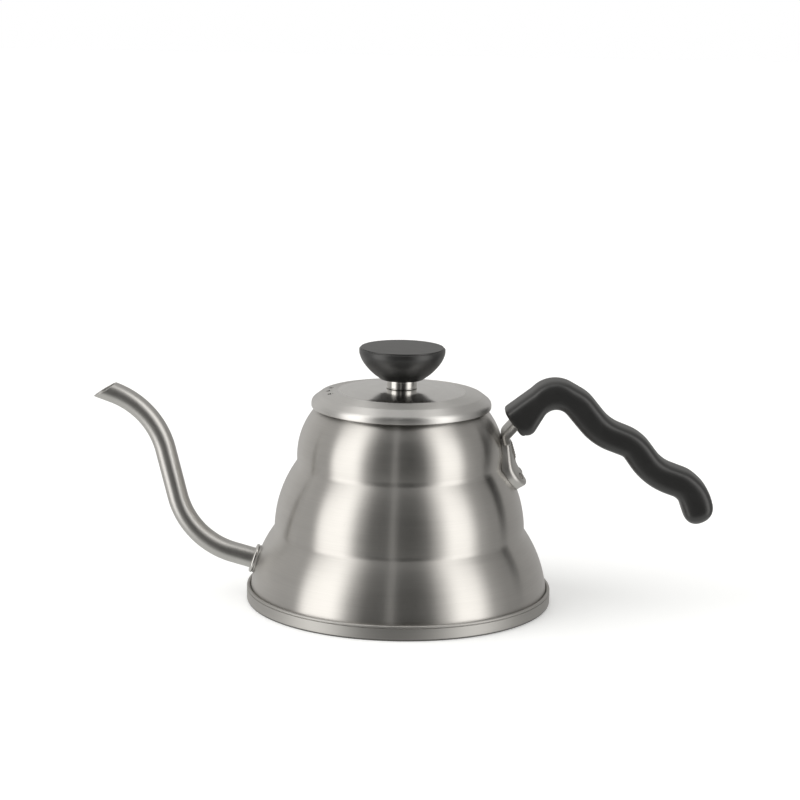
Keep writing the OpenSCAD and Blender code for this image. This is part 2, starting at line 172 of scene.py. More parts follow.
class Track:
    """A line in the kettle's middle plane that sheet metal is laid along."""

    def __init__(self, corners: list[Corner], gap: float) -> None:
        """Rounds the corners and evens out the line.

        Args:
            corners: (x, z, corner radius) entries.
            gap: Largest distance between two points.
        """
        self.line = evened(rounded(corners, step=4), gap)
        self.place = run_length(self.line)
        self.length = self.place[-1]

    def normal(self, along: np.ndarray) -> np.ndarray:
        """The direction square to the line, on its left, at each distance along it.

        Args:
            along: Distances from the line's start.

        Returns:
            A direction of length 1 for each distance.
        """
        way = np.gradient(self.line, axis=0)
        way /= np.linalg.norm(way, axis=1)[:, None]
        x = np.interp(along, self.place, -way[:, 1])
        z = np.interp(along, self.place, way[:, 0])
        normal = np.stack([x, 0 * along, z], -1)
        return normal / np.linalg.norm(normal, axis=-1)[..., None]

    def lifted(self, plan: np.ndarray, lift: np.ndarray) -> np.ndarray:
        """Points of a flat plan laid along the line and lifted off it.

        Args:
            plan: (distance along the line, sideways) for each point.
            lift: Each point's height over the line.

        Returns:
            The points in space.
        """
        along, side = plan[..., 0], plan[..., 1]
        x, z = (np.interp(along, self.place, self.line[:, k]) for k in (0, 1))
        return np.stack([x, side, z], -1) + lift[..., None] * self.normal(along)


# ------------------------------------------------------------------ surfaces


class Body(Enum):
    """The frame's bodies that pieces ride on."""

    KETTLE = "kettle"
    LID_GUIDE = "lid_guide"
    LID = "lid"


def shade(mesh: bpy.types.Mesh, sharp: float) -> None:
    """Smooth shading that keeps the edges above the sharp angle, in degrees."""
    mesh.shade_smooth()
    mesh.set_sharp_from_angle(angle=np.radians(sharp))


@dataclass
class Surface:
    """A surface given by rows x columns x 3 points, in millimetres.

    Attributes:
        points: The grid of points.
        ring_rows: Whether the last row joins the first.
        ring_columns: Whether the last column joins the first.
        sharp: Angle between faces above which their edge stays sharp, in degrees.
    """

    points: np.ndarray
    ring_rows: bool = False
    ring_columns: bool = True
    sharp: float = SHARP

    def object(self, name: str) -> bpy.types.Object:
        """A mesh object of the surface, its poles and seams merged and its faces outwards.

        Args:
            name: The object's and the mesh's name.

        Returns:
            The object, with a UV map in metres.
        """
        rows, columns = self.points.shape[:2]
        i, j = np.meshgrid(
            np.arange(rows if self.ring_rows else rows - 1),
            np.arange(columns if self.ring_columns else columns - 1),
            indexing="ij",
        )
        i, j = i.ravel(), j.ravel()
        corner_rows = np.stack([i, i, i + 1, i + 1], 1)
        corner_columns = np.stack([j, j + 1, j + 1, j], 1)
        quads = (corner_rows % rows) * columns + corner_columns % columns
        mesh = bpy.data.meshes.new(name)
        mesh.from_pydata((self.points.reshape(-1, 3) * MM).tolist(), [], quads.tolist())
        layer = mesh.uv_layers.new(name="UVMap")
        layer.data.foreach_set("uv", self._uv(corner_rows, corner_columns).astype(np.float32).ravel())
        shape = bmesh.new()
        shape.from_mesh(mesh)
        bmesh.ops.remove_doubles(shape, verts=shape.verts, dist=0.002 * MM)
        bmesh.ops.dissolve_degenerate(shape, edges=shape.edges, dist=0.001 * MM)
        bmesh.ops.recalc_face_normals(shape, faces=shape.faces)
        shape.to_mesh(mesh)
        shape.free()
        shade(mesh, self.sharp)
        obj = bpy.data.objects.new(name, mesh)
        bpy.context.scene.collection.objects.link(obj)
        return obj

    def _uv(self, corner_rows: np.ndarray, corner_columns: np.ndarray) -> np.ndarray:
        """U runs round the longest row and V along the rows.

        Args:
            corner_rows: Row of each corner of each face.
            corner_columns: Column of each corner of each face.

        Returns:
            (u, v) of each corner, in metres.
        """
        around, along = self.points, self.points
        if self.ring_columns:
            around = np.concatenate([around, around[:, :1]], axis=1)
        if self.ring_rows:
            along = np.concatenate([along, along[:1]], axis=0)
        spans = np.linalg.norm(np.diff(around, axis=1), axis=2).sum(axis=1)
        u = np.linspace(0, spans.max() * MM, around.shape[1])
        step = np.linalg.norm(np.diff(along, axis=0), axis=2).max(axis=1)
        v = np.concatenate([[0.0], np.cumsum(step)]) * MM
        return np.stack([u[corner_columns], v[corner_rows]], -1)


def revolved(profile: np.ndarray, columns: int = 192) -> np.ndarray:
    """A profile of (radius, height) rows turned about Z: (r cos a, r sin a, z) for each angle a.

    Args:
        profile: The rows.
        columns: Number of angles; the first is at the back.

    Returns:
        The grid of points.
    """
    angle = np.linspace(0, 2 * np.pi, columns, endpoint=False) + np.pi / 2
    r, z = profile[:, :1], profile[:, 1:]
    return np.stack([r * np.cos(angle), r * np.sin(angle), z + 0 * angle], axis=-1)


def lathe(corners: list[Corner], closed: bool = True, gap: float = 1.6, columns: int = 192) -> Surface:
    """The surface of revolution of a rounded outline.

    Args:
        corners: (radius, height, corner radius) entries, round the solid's section.
        closed: Whether the section is a ring; otherwise it starts and ends on the axis.
        gap: Largest distance between two rows.
        columns: Number of points round the axis.

    Returns:
        The surface.
    """
    profile = evened(rounded(corners, closed), gap, closed)
    return Surface(revolved(profile, columns), ring_rows=closed)


def rod(start: np.ndarray, way: np.ndarray, length: float, radius: float, columns: int = 48) -> Surface:
    """A closed straight cylinder.

    Args:
        start: Centre of its first end.
        way: Direction of its axis.
        length: Its length.
        radius: Its radius.
        columns: Number of points round it.

    Returns:
        The surface: two poles and two circles.
    """
    way = unit(way)
    side = unit(np.cross(way, ACROSS + 0.2 * UP))
    reach = np.array([0.0, radius, radius, 0.0])[:, None, None]
    height = np.array([0.0, 0.0, length, length])[:, None, None]
    return Surface(start + reach * circle(side, np.cross(way, side), columns) + height * way)


def settle(obj: bpy.types.Object) -> None:
    """Applies a piece's modifiers to its mesh.

    Args:
        obj: The piece.
    """
    bpy.context.view_layer.update()
    graph = bpy.context.evaluated_depsgraph_get()
    made = bpy.data.meshes.new_from_object(obj.evaluated_get(graph))
    old = obj.data
    obj.modifiers.clear()
    obj.data = made
    made.name = obj.name
    bpy.data.meshes.remove(old)


def discard(obj: bpy.types.Object) -> None:
    """Removes an object with its mesh.

    Args:
        obj: The object.
    """
    mesh = obj.data
    bpy.data.objects.remove(obj)
    bpy.data.meshes.remove(mesh)


def cut(obj: bpy.types.Object, tools: list[Surface], sharp: float = SHARP) -> None:
    """Takes closed solids out of a piece's mesh and shades what is left.

    Args:
        obj: The piece.
        tools: The solids.
        sharp: Angle above which an edge stays sharp, in degrees.
    """
    for number, tool in enumerate(tools):
        cutter = tool.object(f"cutter_{number}")
        bite = obj.modifiers.new("bite", "BOOLEAN")
        bite.operation = "DIFFERENCE"
        bite.solver = "EXACT"
        bite.object = cutter
        settle(obj)
        discard(cutter)
    shade(obj.data, sharp)


def joined(objects: list[bpy.types.Object], name: str) -> bpy.types.Object:
    """Several mesh objects as one.

    Args:
        objects: The objects, of which all but the first are removed.
        name: Name of the whole.

    Returns:
        The first object, which holds all the meshes.
    """
    first, *rest = objects
    shape = bmesh.new()
    for obj in objects:
        shape.from_mesh(obj.data)
    shape.to_mesh(first.data)
    shape.free()
    for obj in rest:
        discard(obj)
    first.name = first.data.name = name
    first.data.shade_smooth()
    return first


# ------------------------------------------------------------------ shader helpers


class Graph:
    """A short way to add nodes and links to a node tree."""

    def __init__(self, tree: bpy.types.NodeTree) -> None:
        """Keeps the tree and empties it."""
        self.tree = tree
        tree.nodes.clear()

    def add(self, kind: str, inputs: Inputs | None = None, **settings: object) -> bpy.types.Node:
        """Adds a node.

        Args:
            kind: The node's type.
            inputs: Value of each input; a socket is linked, and anything else is set.
            **settings: Values of the node's own properties.

        Returns:
            The node.
        """
        node = self.tree.nodes.new(kind)
        for name, value in settings.items():
            setattr(node, name, value)
        for name, value in (inputs or {}).items():
            if isinstance(value, Socket):
                self.link(value, node.inputs[name])
            else:
                node.inputs[name].default_value = value
        return node

    def link(self, source: Socket, target: Socket) -> None:
        """Links an output to an input."""
        self.tree.links.new(source, target)

    def place(self, kind: str = "Object") -> Socket:
        """A coordinate of the surface."""
        return self.add("ShaderNodeTexCoord").outputs[kind]

    def parts(self, value: Socket) -> bpy.types.bpy_prop_collection:
        """The X, Y and Z of a vector."""
        return self.add("ShaderNodeSeparateXYZ", {0: value}).outputs

    def math(self, operation: str, *values: object) -> Socket:
        """The result of a Math node."""
        return self.add("ShaderNodeMath", dict(enumerate(values)), operation=operation).outputs[0]

    def vector(self, operation: str, inputs: Inputs, output: str = "Vector") -> Socket:
        """The result of a Vector Math node."""
        return self.add("ShaderNodeVectorMath", inputs, operation=operation).outputs[output]

    def remap(self, value: object, source: Pair, target: Pair = (0.0, 1.0), curve: str = "LINEAR") -> Socket:
        """A value carried from the source range to the target range, and held at its ends."""
        ends = dict(zip(("From Min", "From Max", "To Min", "To Max"), (*source, *target)))
        return self.add("ShaderNodeMapRange", {"Value": value, **ends}, interpolation_type=curve).outputs[0]

    def noise(self, place: object, scale: object, detail: float, **more: float) -> Socket:
        """A noise pattern; more sets its other inputs by name."""
        inputs = {"Vector": place, "Scale": scale, "Detail": detail, **more}
        return self.add("ShaderNodeTexNoise", inputs).outputs["Fac"]

    def blend(self, share: object, first: object, second: object) -> Socket:
        """Two colours mixed by a share."""
        return self.add("ShaderNodeMix", {0: share, 6: first, 7: second}, data_type="RGBA").outputs[2]

    def finish(self, shader: bpy.types.Node, kind: str = "ShaderNodeOutputMaterial") -> None:
        """Links the shader to the tree's output."""
        self.add(kind, {0: shader.outputs[0]})


def new_group(name: str, inputs: dict[str, float], outputs: tuple[str, ...]) -> tuple[Graph, object, object]:
    """An empty shader group with named number sockets.

    Args:
        name: The group's name.
        inputs: Default of each input.
        outputs: Name of each output.

    Returns:
        The group's graph, its inputs as sockets to read, and its outputs as sockets to fill.
    """
    tree = bpy.data.node_groups.new(name, "ShaderNodeTree")
    for label, default in inputs.items():
        made = tree.interface.new_socket(label, in_out="INPUT", socket_type="NodeSocketFloat")
        made.default_value = default
    for label in outputs:
        tree.interface.new_socket(label, in_out="OUTPUT", socket_type="NodeSocketFloat")
    graph = Graph(tree)
    return graph, graph.add("NodeGroupInput").outputs, graph.add("NodeGroupOutput").inputs


class Effects:
    """The shader groups that several finishes share."""

    def __init__(self) -> None:
        """Makes each group once."""
        self.brush = self._brush()
        self.cloud = self._cloud()
        self.grain = self._grain()

    @staticmethod
    def _brush() -> bpy.types.NodeTree:
        """Fine lines that run round the kettle's axis and change along the piece's own V.

        Returns:
            The group, which puts out the fine lines and broader streaks along them.
        """
        inputs = {"Lines per metre": 2600.0, "Length": 2.0}
        graph, given, result = new_group("brush_lines", inputs, ("Lines", "Streaks"))
        flat = graph.vector("MULTIPLY", {0: graph.place(), 1: (1.0, 1.0, 0.0)})
        spoke = graph.vector("NORMALIZE", {0: flat})
        around = graph.parts(graph.vector("SCALE", {0: spoke, "Scale": given["Length"]}))
        across = graph.parts(graph.place("UV"))["Y"]
        for label, share, detail in (("Lines", 1.0, 3.0), ("Streaks", 0.09, 2.0)):
            height = graph.math("MULTIPLY", across, graph.math("MULTIPLY", given["Lines per metre"], share))
            spot = graph.add("ShaderNodeCombineXYZ", {0: around[0], 1: around[1], 2: height})
            graph.link(graph.noise(spot.outputs[0], 1.0, detail, Roughness=0.6), result[label])
        return graph.tree

    @staticmethod
    def _cloud() -> bpy.types.NodeTree:
        """Broad soft patches and fine specks, as handling and cleaning leave on metal.

        Returns:
            The group.
        """
        graph, given, result = new_group("soft_patches", {"Scale": 30.0}, ("Patches", "Specks"))
        place = graph.place()
        graph.link(graph.noise(place, given["Scale"], 4.0, Distortion=0.4), result["Patches"])
        graph.link(graph.remap(graph.noise(place, 900.0, 2.0), (0.66, 0.74)), result["Specks"])
        return graph.tree

    @staticmethod
    def _grain() -> bpy.types.NodeTree:
        """The fine even grain of a moulded surface, with a little flow marking.

        Returns:
            The group.
        """
        graph, given, result = new_group("moulded_grain", {"Scale": 2600.0}, ("Height", "Flow"))
        place = graph.place()
        graph.link(graph.noise(place, given["Scale"], 3.0), result["Height"])
        graph.link(graph.noise(place, 55.0, 5.0, Distortion=1.2), result["Flow"])
        return graph.tree


# ------------------------------------------------------------------ finishes

LINE_SHADES = (0.86, 1.12)  # the darkest and the lightest line, as shares of the metal's colour
SPECK_SHADE, SPECK_SHARE = 0.72, 0.12  # a speck's colour and its strength
FLOW_SHADES = (0.85, 1.2)  # the darkest and the lightest flow mark on a moulding
PAINTED_SHADOW, PAINTED_SHADOW_SHARE = (0.02, 0.02, 0.018, 1.0), 0.8  # colour and strength of the painted contact shadow along the pan's foot
PAINTED_SHADOW_FADE = 1.8  # where the painted shadow fades out, in heights of the shadowed line
CROWN_PATCHES = 0.04  # how much the soft patches change a polished crown's roughness
QUARTER_TURN = 0.25  # turns highlights from along the lines to across them


def shaded(colour: Colour, share: float) -> tuple[float, ...]:
    """A colour made darker or lighter, with an alpha of 1."""
    return tuple(min(1.0, share * c) for c in colour) + (1.0,)


def blank_material(name: str) -> tuple[bpy.types.Material, Graph]:
    """An empty material and its graph.

    Args:
        name: The material's name.

    Returns:
        The material and the graph of its nodes.
    """
    made = bpy.data.materials.new(name)
    made.use_nodes = True
    return made, Graph(made.node_tree)


class Lay(Enum):
    """Which way the polishing lines of a metal run."""

    ROUND = "round the axis"
    NONE = "no direction"


@dataclass(frozen=True)
class Steel:
    """A metal finish.

    Attributes:
        name: The record's material slot, and the material's name.
        colour: Reflectance, linear.
        rough: Roughness where the surface is smoothest and where it is roughest.
        lay: Which way the lines run.
        stretch: How far highlights spread across the lines, 0 to 1.
        lines: Lines per metre across the lay.
        relief: Depth of the lines, in millimetres.
        patches: How much the soft patches change the roughness.
        crown_edge: Radius inside which the surface is polished, in metres, or 0.
        crown_rough: Roughness of that polished zone.
        shadow_top: Height below which a contact shadow is painted into the metal's colour, in metres, or 0.
    """

    name: str
    colour: Colour
    rough: Pair
    lay: Lay = Lay.NONE
    stretch: float = 0.0
    lines: float = 2600.0
    relief: float = 0.0
    patches: float = 0.05
    crown_edge: float = 0.0
    crown_rough: float = 0.12
    shadow_top: float = 0.0

    def material(self, effects: Effects) -> bpy.types.Material:
        """Builds the material: lines change colour, roughness and height, and patches dull it.

        Args:
            effects: The shared shader groups.

        Returns:
            The material.
        """
        made, graph = blank_material(self.name)
        brush = graph.add("ShaderNodeGroup", node_tree=effects.brush)
        brush.inputs["Lines per metre"].default_value = self.lines
        cloud = graph.add("ShaderNodeGroup", node_tree=effects.cloud)
        lines, streaks = brush.outputs["Lines"], brush.outputs["Streaks"]
        mixed = graph.math("MULTIPLY_ADD", streaks, 0.5, graph.math("MULTIPLY", lines, 0.5))
        tint = self._tint(graph, mixed, cloud.outputs["Specks"])
        rough = self._roughness(graph, mixed, cloud.outputs["Patches"])
        inputs = {"Base Color": tint, "Roughness": rough, "Metallic": 1.0}
        shader = graph.add("ShaderNodeBsdfPrincipled", inputs)
        if self.lay is Lay.ROUND:
            shader.inputs["Anisotropic"].default_value = self.stretch
            shader.inputs["Anisotropic Rotation"].default_value = QUARTER_TURN
            tangent = graph.add("ShaderNodeTangent", direction_type="UV_MAP", uv_map="UVMap")
            graph.link(tangent.outputs[0], shader.inputs["Tangent"])
        if self.relief:
            relief = {"Height": lines, "Strength": 0.35, "Distance": self.relief * MM}
            graph.link(graph.add("ShaderNodeBump", relief).outputs[0], shader.inputs["Normal"])
        graph.finish(shader)
        return made

    def _tint(self, graph: Graph, mixed: object, specks: object) -> Socket:
        """The colour: shades of the lines, dark specks and a painted contact shadow along the foot.

        Args:
            graph: The material's graph.
            mixed: The lines and streaks together.
            specks: Where the specks are.

        Returns:
            The colour.
        """
        tint = graph.blend(mixed, *(shaded(self.colour, share) for share in LINE_SHADES))
        share = graph.math("MULTIPLY", specks, SPECK_SHARE)
        tint = graph.blend(share, tint, shaded(self.colour, SPECK_SHADE))
        # Painted shade: the colour darkens towards the bottom edge, standing in for the floor's contact
        # shadow under the foot.
        if self.shadow_top:
            height = graph.parts(graph.place())["Z"]
            contact_shadow = graph.remap(height, (self.shadow_top, PAINTED_SHADOW_FADE * self.shadow_top), (PAINTED_SHADOW_SHARE, 0.0))
            tint = graph.blend(contact_shadow, tint, PAINTED_SHADOW)
        return tint

    def _roughness(self, graph: Graph, mixed: object, patches: object) -> Socket:
        """The roughness: it follows the lines and the patches, and drops inside the polished crown.

        Args:
            graph: The material's graph.
            mixed: The lines and streaks together.
            patches: Where the soft patches are.

        Returns:
            The roughness.
        """
        rough = graph.remap(mixed, (0.0, 1.0), self.rough)
        rough = graph.math("MULTIPLY_ADD", patches, self.patches, rough)
        if self.crown_edge:
            flat = graph.vector("MULTIPLY", {0: graph.place(), 1: (1.0, 1.0, 0.0)})
            reach = graph.vector("LENGTH", {0: flat}, "Value")
            soft = 0.4 * MM
            edge = graph.remap(reach, (self.crown_edge - soft, self.crown_edge + soft))
            crown = graph.math("MULTIPLY_ADD", patches, CROWN_PATCHES, self.crown_rough)
            rough = graph.add("ShaderNodeMix", {0: edge, 2: crown, 3: rough}).outputs[0]
        return rough


@dataclass(frozen=True)
class Moulding:
    """A moulded black phenolic finish.

    Attributes:
        name: The record's material slot, and the material's name.
        colour: Base colour, linear.
        rough: Lowest and highest roughness.
        relief: Depth of the grain, in millimetres.
    """

    name: str
    colour: Colour
    rough: Pair
    relief: float

    def material(self, effects: Effects) -> bpy.types.Material:
        """Builds the material: flow marks change colour and gloss, and the grain gives relief.

        Args:
            effects: The shared shader groups.

        Returns:
            The material.
        """
        made, graph = blank_material(self.name)
        grain = graph.add("ShaderNodeGroup", node_tree=effects.grain)
        flow = grain.outputs["Flow"]
        tint = graph.blend(flow, *(shaded(self.colour, share) for share in FLOW_SHADES))
        rough = graph.remap(flow, (0.0, 1.0), self.rough)
        relief = {"Height": grain.outputs["Height"], "Strength": 0.5, "Distance": self.relief * MM}
        bump = graph.add("ShaderNodeBump", relief).outputs[0]
        inputs = {"Base Color": tint, "Roughness": rough, "Normal": bump}
        shader = graph.add("ShaderNodeBsdfPrincipled", inputs)
        shader.inputs["IOR"].default_value = 1.56
        shader.inputs["Specular IOR Level"].default_value = 0.7
        graph.finish(shader)
        return made


FINISHES = (
    Steel(
        "brushed_shell", (0.60, 0.585, 0.56), (0.24, 0.34), Lay.ROUND,
        stretch=1.0, relief=0.018, patches=0.06,
    ),
    Steel(
        "lid_steel", (0.73, 0.72, 0.70), (0.34, 0.42), Lay.ROUND,
        stretch=0.9, relief=0.010, crown_edge=0.0297, crown_rough=0.10,
    ),
    Steel("spout_steel", (0.60, 0.59, 0.57), (0.28, 0.38), lines=900.0, relief=0.004, patches=0.08),
    # The pan's lowest 0.6 mm gets a painted contact shadow.
    Steel("polished_pan", (0.50, 0.49, 0.47), (0.40, 0.48), lines=3000.0, relief=0.006, shadow_top=0.0006),
    Steel("polished_steel", (0.68, 0.67, 0.65), (0.05, 0.10), patches=0.03),
    Steel("bracket_steel", (0.57, 0.56, 0.54), (0.30, 0.40), lines=1200.0, relief=0.006, patches=0.10),
    Steel("plain_steel", (0.55, 0.54, 0.52), (0.24, 0.36), relief=0.003, patches=0.10),
    Steel("screw_steel", (0.60, 0.60, 0.59), (0.18, 0.28), patches=0.08),
    Steel("weld", (0.36, 0.34, 0.32), (0.32, 0.48), lines=700.0, relief=0.02, patches=0.20),
    Steel("heat_disc", (0.72, 0.72, 0.73), (0.30, 0.42), patches=0.10),
    Steel("brass", (0.72, 0.55, 0.25), (0.20, 0.32), lines=1800.0, relief=0.004, patches=0.08),
    Moulding("phenolic", (0.012, 0.012, 0.0115), (0.32, 0.40), relief=0.008),
)


class Dresser:
    """Puts finishes, bodies and slots on pieces."""

    def __init__(self, effects: Effects) -> None:
        """Builds every finish once."""
        self.materials = {finish.name: finish.material(effects) for finish in FINISHES}

    def dress(self, obj: bpy.types.Object, slot: str) -> None:
        """Gives a piece the finish of that slot."""
        obj.data.materials.clear()
        obj.data.materials.append(self.materials[slot])

    def place(self, obj: bpy.types.Object, slot: str, body: Body, stands_for: str) -> None:
        """Finishes a new piece, rides it on its body and hides the CAD node it stands for.

        Args:
            obj: The piece.
            slot: The record's material slot.
            body: The body that it rides on.
            stands_for: The CAD node.
        """
        self.dress(obj, slot)
        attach(obj, body.value)
        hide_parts(stands_for)
        log.info("%s: %d faces, finish %s, on body %s", obj.name, len(obj.data.polygons), slot, body.value)

    def dress_frame(self, record: dict) -> None:
        """Gives every CAD node that stays in view the finish of its slot.

        Args:
            record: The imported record.
        """
        for part in record["subparts"]:
            node = frame["nodes"][part["node"]]
            if not node.hide_render:
                self.dress(node, part["material_slot"])
                log.info("%s: CAD node, finish %s", node.name, part["material_slot"])


# ------------------------------------------------------------------ body


@dataclass
class BodyShell:
    """The lobed body with the ring in its mouth and its base pan.

    Attributes:
        mouth, upper_waist, lower_waist, foot: (radius, height) of the ends of the three lobes.
        bulge: How far each lobe swells beyond the line between its ends, top to bottom.
        waist_fillet: Radius of the groove between two lobes.
        sheet: Thickness of the body's sheet.
        ring_top, sleeve_low: Heights of the mouth ring's top face and of its sleeve's end.
        throat: Radius of the way in.
        pan_r, pan_h, pan_wall, pan_floor: The pan's radius, height, wall and floor.
        hem_low: Height of the fine groove under the pan's hem.
    """

    mouth: Pair = (40.0, 92.5)
    upper_waist: Pair = (48.6, 66.5)
    lower_waist: Pair = (59.1, 34.5)
    foot: Pair = (70.2, 5.2)
    bulge: tuple[float, float, float] = (2.9, 2.65, 2.15)
    waist_fillet: float = 4.5
    sheet: float = 0.8
    ring_top: float = 93.2
    sleeve_low: float = 84.5
    throat: float = 35.9
    pan_r: float = 72.0
    pan_h: float = 7.2
    pan_wall: float = 1.65
    pan_floor: float = 1.0
    hem_low: float = 5.75

    def lobes(self) -> list[tuple[np.ndarray, float]]:
        """Centre and radius of the circle that each lobe follows.

        Returns:
            The circles, top to bottom, each through both ends of its lobe.
        """
        ends = [np.array(p) for p in (self.mouth, self.upper_waist, self.lower_waist, self.foot)]
        made = []
        for p, q, swell in zip(ends, ends[1:], self.bulge):
            chord = np.linalg.norm(q - p)
            radius = (chord**2 / 4 + swell**2) / (2 * swell)
            made.append(((p + q) / 2 - left_of(unit(q - p)) * (radius - swell), radius))
        return made

    def groove(self, a: tuple[np.ndarray, float], b: tuple[np.ndarray, float]) -> np.ndarray:
        """Centre of the groove's circle, which touches the circles of both lobes from outside.

        Args:
            a: Circle of the lobe above.
            b: Circle of the lobe below.

        Returns:
            The centre.
        """
        gap = np.linalg.norm(b[0] - a[0])
        ra, rb = a[1] + self.waist_fillet, b[1] + self.waist_fillet
        run = (ra**2 - rb**2 + gap**2) / (2 * gap)
        along = unit(b[0] - a[0])
        return a[0] + run * along + np.sqrt(ra**2 - run**2) * left_of(along)

    def outline(self, inset: float = 0.0) -> np.ndarray:
        """The body's outline from the mouth to the foot: lobe, groove, lobe, groove, lobe.

        Args:
            inset: How far the outline is moved inwards.

        Returns:
            (radius, height) rows.
        """
        top, middle, bottom = self.lobes()
        upper, lower = self.groove(top, middle), self.groove(middle, bottom)

        def sweep(
            centre: np.ndarray, radius: float, start: np.ndarray, end: np.ndarray, step: float,
        ) -> np.ndarray:
            """The arc about centre from the direction of start to the direction of end."""
            u, w = unit(start - centre), unit(end - centre)
            return arc(centre, u * radius, signed_angle(u, w), step)

        return np.concatenate([
            sweep(top[0], top[1] - inset, np.array(self.mouth), upper, 1.2),
            sweep(upper, self.waist_fillet + inset, top[0], middle[0], 2.5),
            sweep(middle[0], middle[1] - inset, upper, lower, 1.2),
            sweep(lower, self.waist_fillet + inset, middle[0], bottom[0], 2.5),
            sweep(bottom[0], bottom[1] - inset, lower, np.array(self.foot), 1.2),
        ])

    def radius_at(self, height: np.ndarray) -> np.ndarray:
        """Outer radius of the body at each height."""
        line = self.outline()[::-1]
        return np.interp(height, line[:, 1], line[:, 0])

    def onto(self, points: np.ndarray, way: np.ndarray, farthest: float = 16.0) -> np.ndarray:
        """Where lines from points along way meet the body, found by halving the interval 30 times.

        Args:
            points: Points outside the body.
            way: Direction of each line.
            farthest: Longest distance looked at.

        Returns:
            The points on the body.
        """
        low, high = np.zeros(points.shape[:-1]), np.full(points.shape[:-1], farthest)
        for _ in range(30):
            middle = (low + high) / 2
            spot = points + middle[..., None] * way
            outside = np.hypot(spot[..., 0], spot[..., 1]) > self.radius_at(spot[..., 2])
            low, high = np.where(outside, middle, low), np.where(outside, high, middle)
        return points + low[..., None] * way

    def build(self, dresser: Dresser, hole: Surface) -> None:
        """Makes the shell, the mouth ring and the pan.

        Args:
            dresser: Finishes the pieces.
            hole: The spout's hole in the shell.
        """
        low = self.pan_floor + GAP
        end = [[self.foot[0], low], [self.foot[0] - self.sheet, low]]
        wall = np.concatenate([self.outline(), end, self.outline(self.sheet)[::-1]])
        shell = Surface(revolved(evened(wall, 1.4, closed=True), 256), ring_rows=True).object("body_wall")
        cut(shell, [hole])
        dresser.place(shell, "brushed_shell", Body.KETTLE, "body_shell")
        dresser.place(self._ring().object("mouth_rim"), "plain_steel", Body.KETTLE, "mouth_ring")
        dresser.place(self._pan().object("pan"), "polished_pan", Body.KETTLE, "base_pan")

    def _ring(self) -> Surface:
        """The mouth ring: a sleeve with a rounded flange over the body's edge.

        Returns:
            The surface.
        """
        flange = self.ring_top - self.mouth[1] - GAP
        rim, round_r = self.mouth[0] + 0.2, flange * 0.45
        return lathe([
            (self.throat, self.sleeve_low, 0.3),
            (self.throat + 0.8, self.sleeve_low, 0.3),
            (self.throat + 0.8, self.ring_top - flange, 0),
            (rim, self.ring_top - flange, round_r),
            (rim, self.ring_top, round_r),
            (self.throat, self.ring_top, 0.4),
        ])

    def _pan(self) -> Surface:
        """The base pan, with a fine groove under its rolled hem.

        Returns:
            The surface.
        """
        groove_r, hem_r = self.pan_r - 0.4, self.pan_wall * 0.49
        return lathe([
            (0.0, 0.0, 0),
            (self.pan_r, 0.0, 1.0),
            (self.pan_r, self.hem_low, 0.12),
            (groove_r, self.hem_low + 0.15, 0.08),
            (groove_r, self.hem_low + 0.3, 0.08),
            (self.pan_r, self.hem_low + 0.45, 0.25),
            (self.pan_r, self.pan_h, hem_r),
            (self.pan_r - self.pan_wall, self.pan_h, hem_r),
            (self.pan_r - self.pan_wall, self.pan_floor, 0),
            (0.0, self.pan_floor, 0),
        ], closed=False, gap=1.2, columns=256)


# ------------------------------------------------------------------ spout


def heading(angle: np.ndarray) -> np.ndarray:
    """The direction towards the spout's side that rises by an angle in radians."""
    return np.stack([-np.cos(angle), 0 * angle, np.sin(angle)], -1)


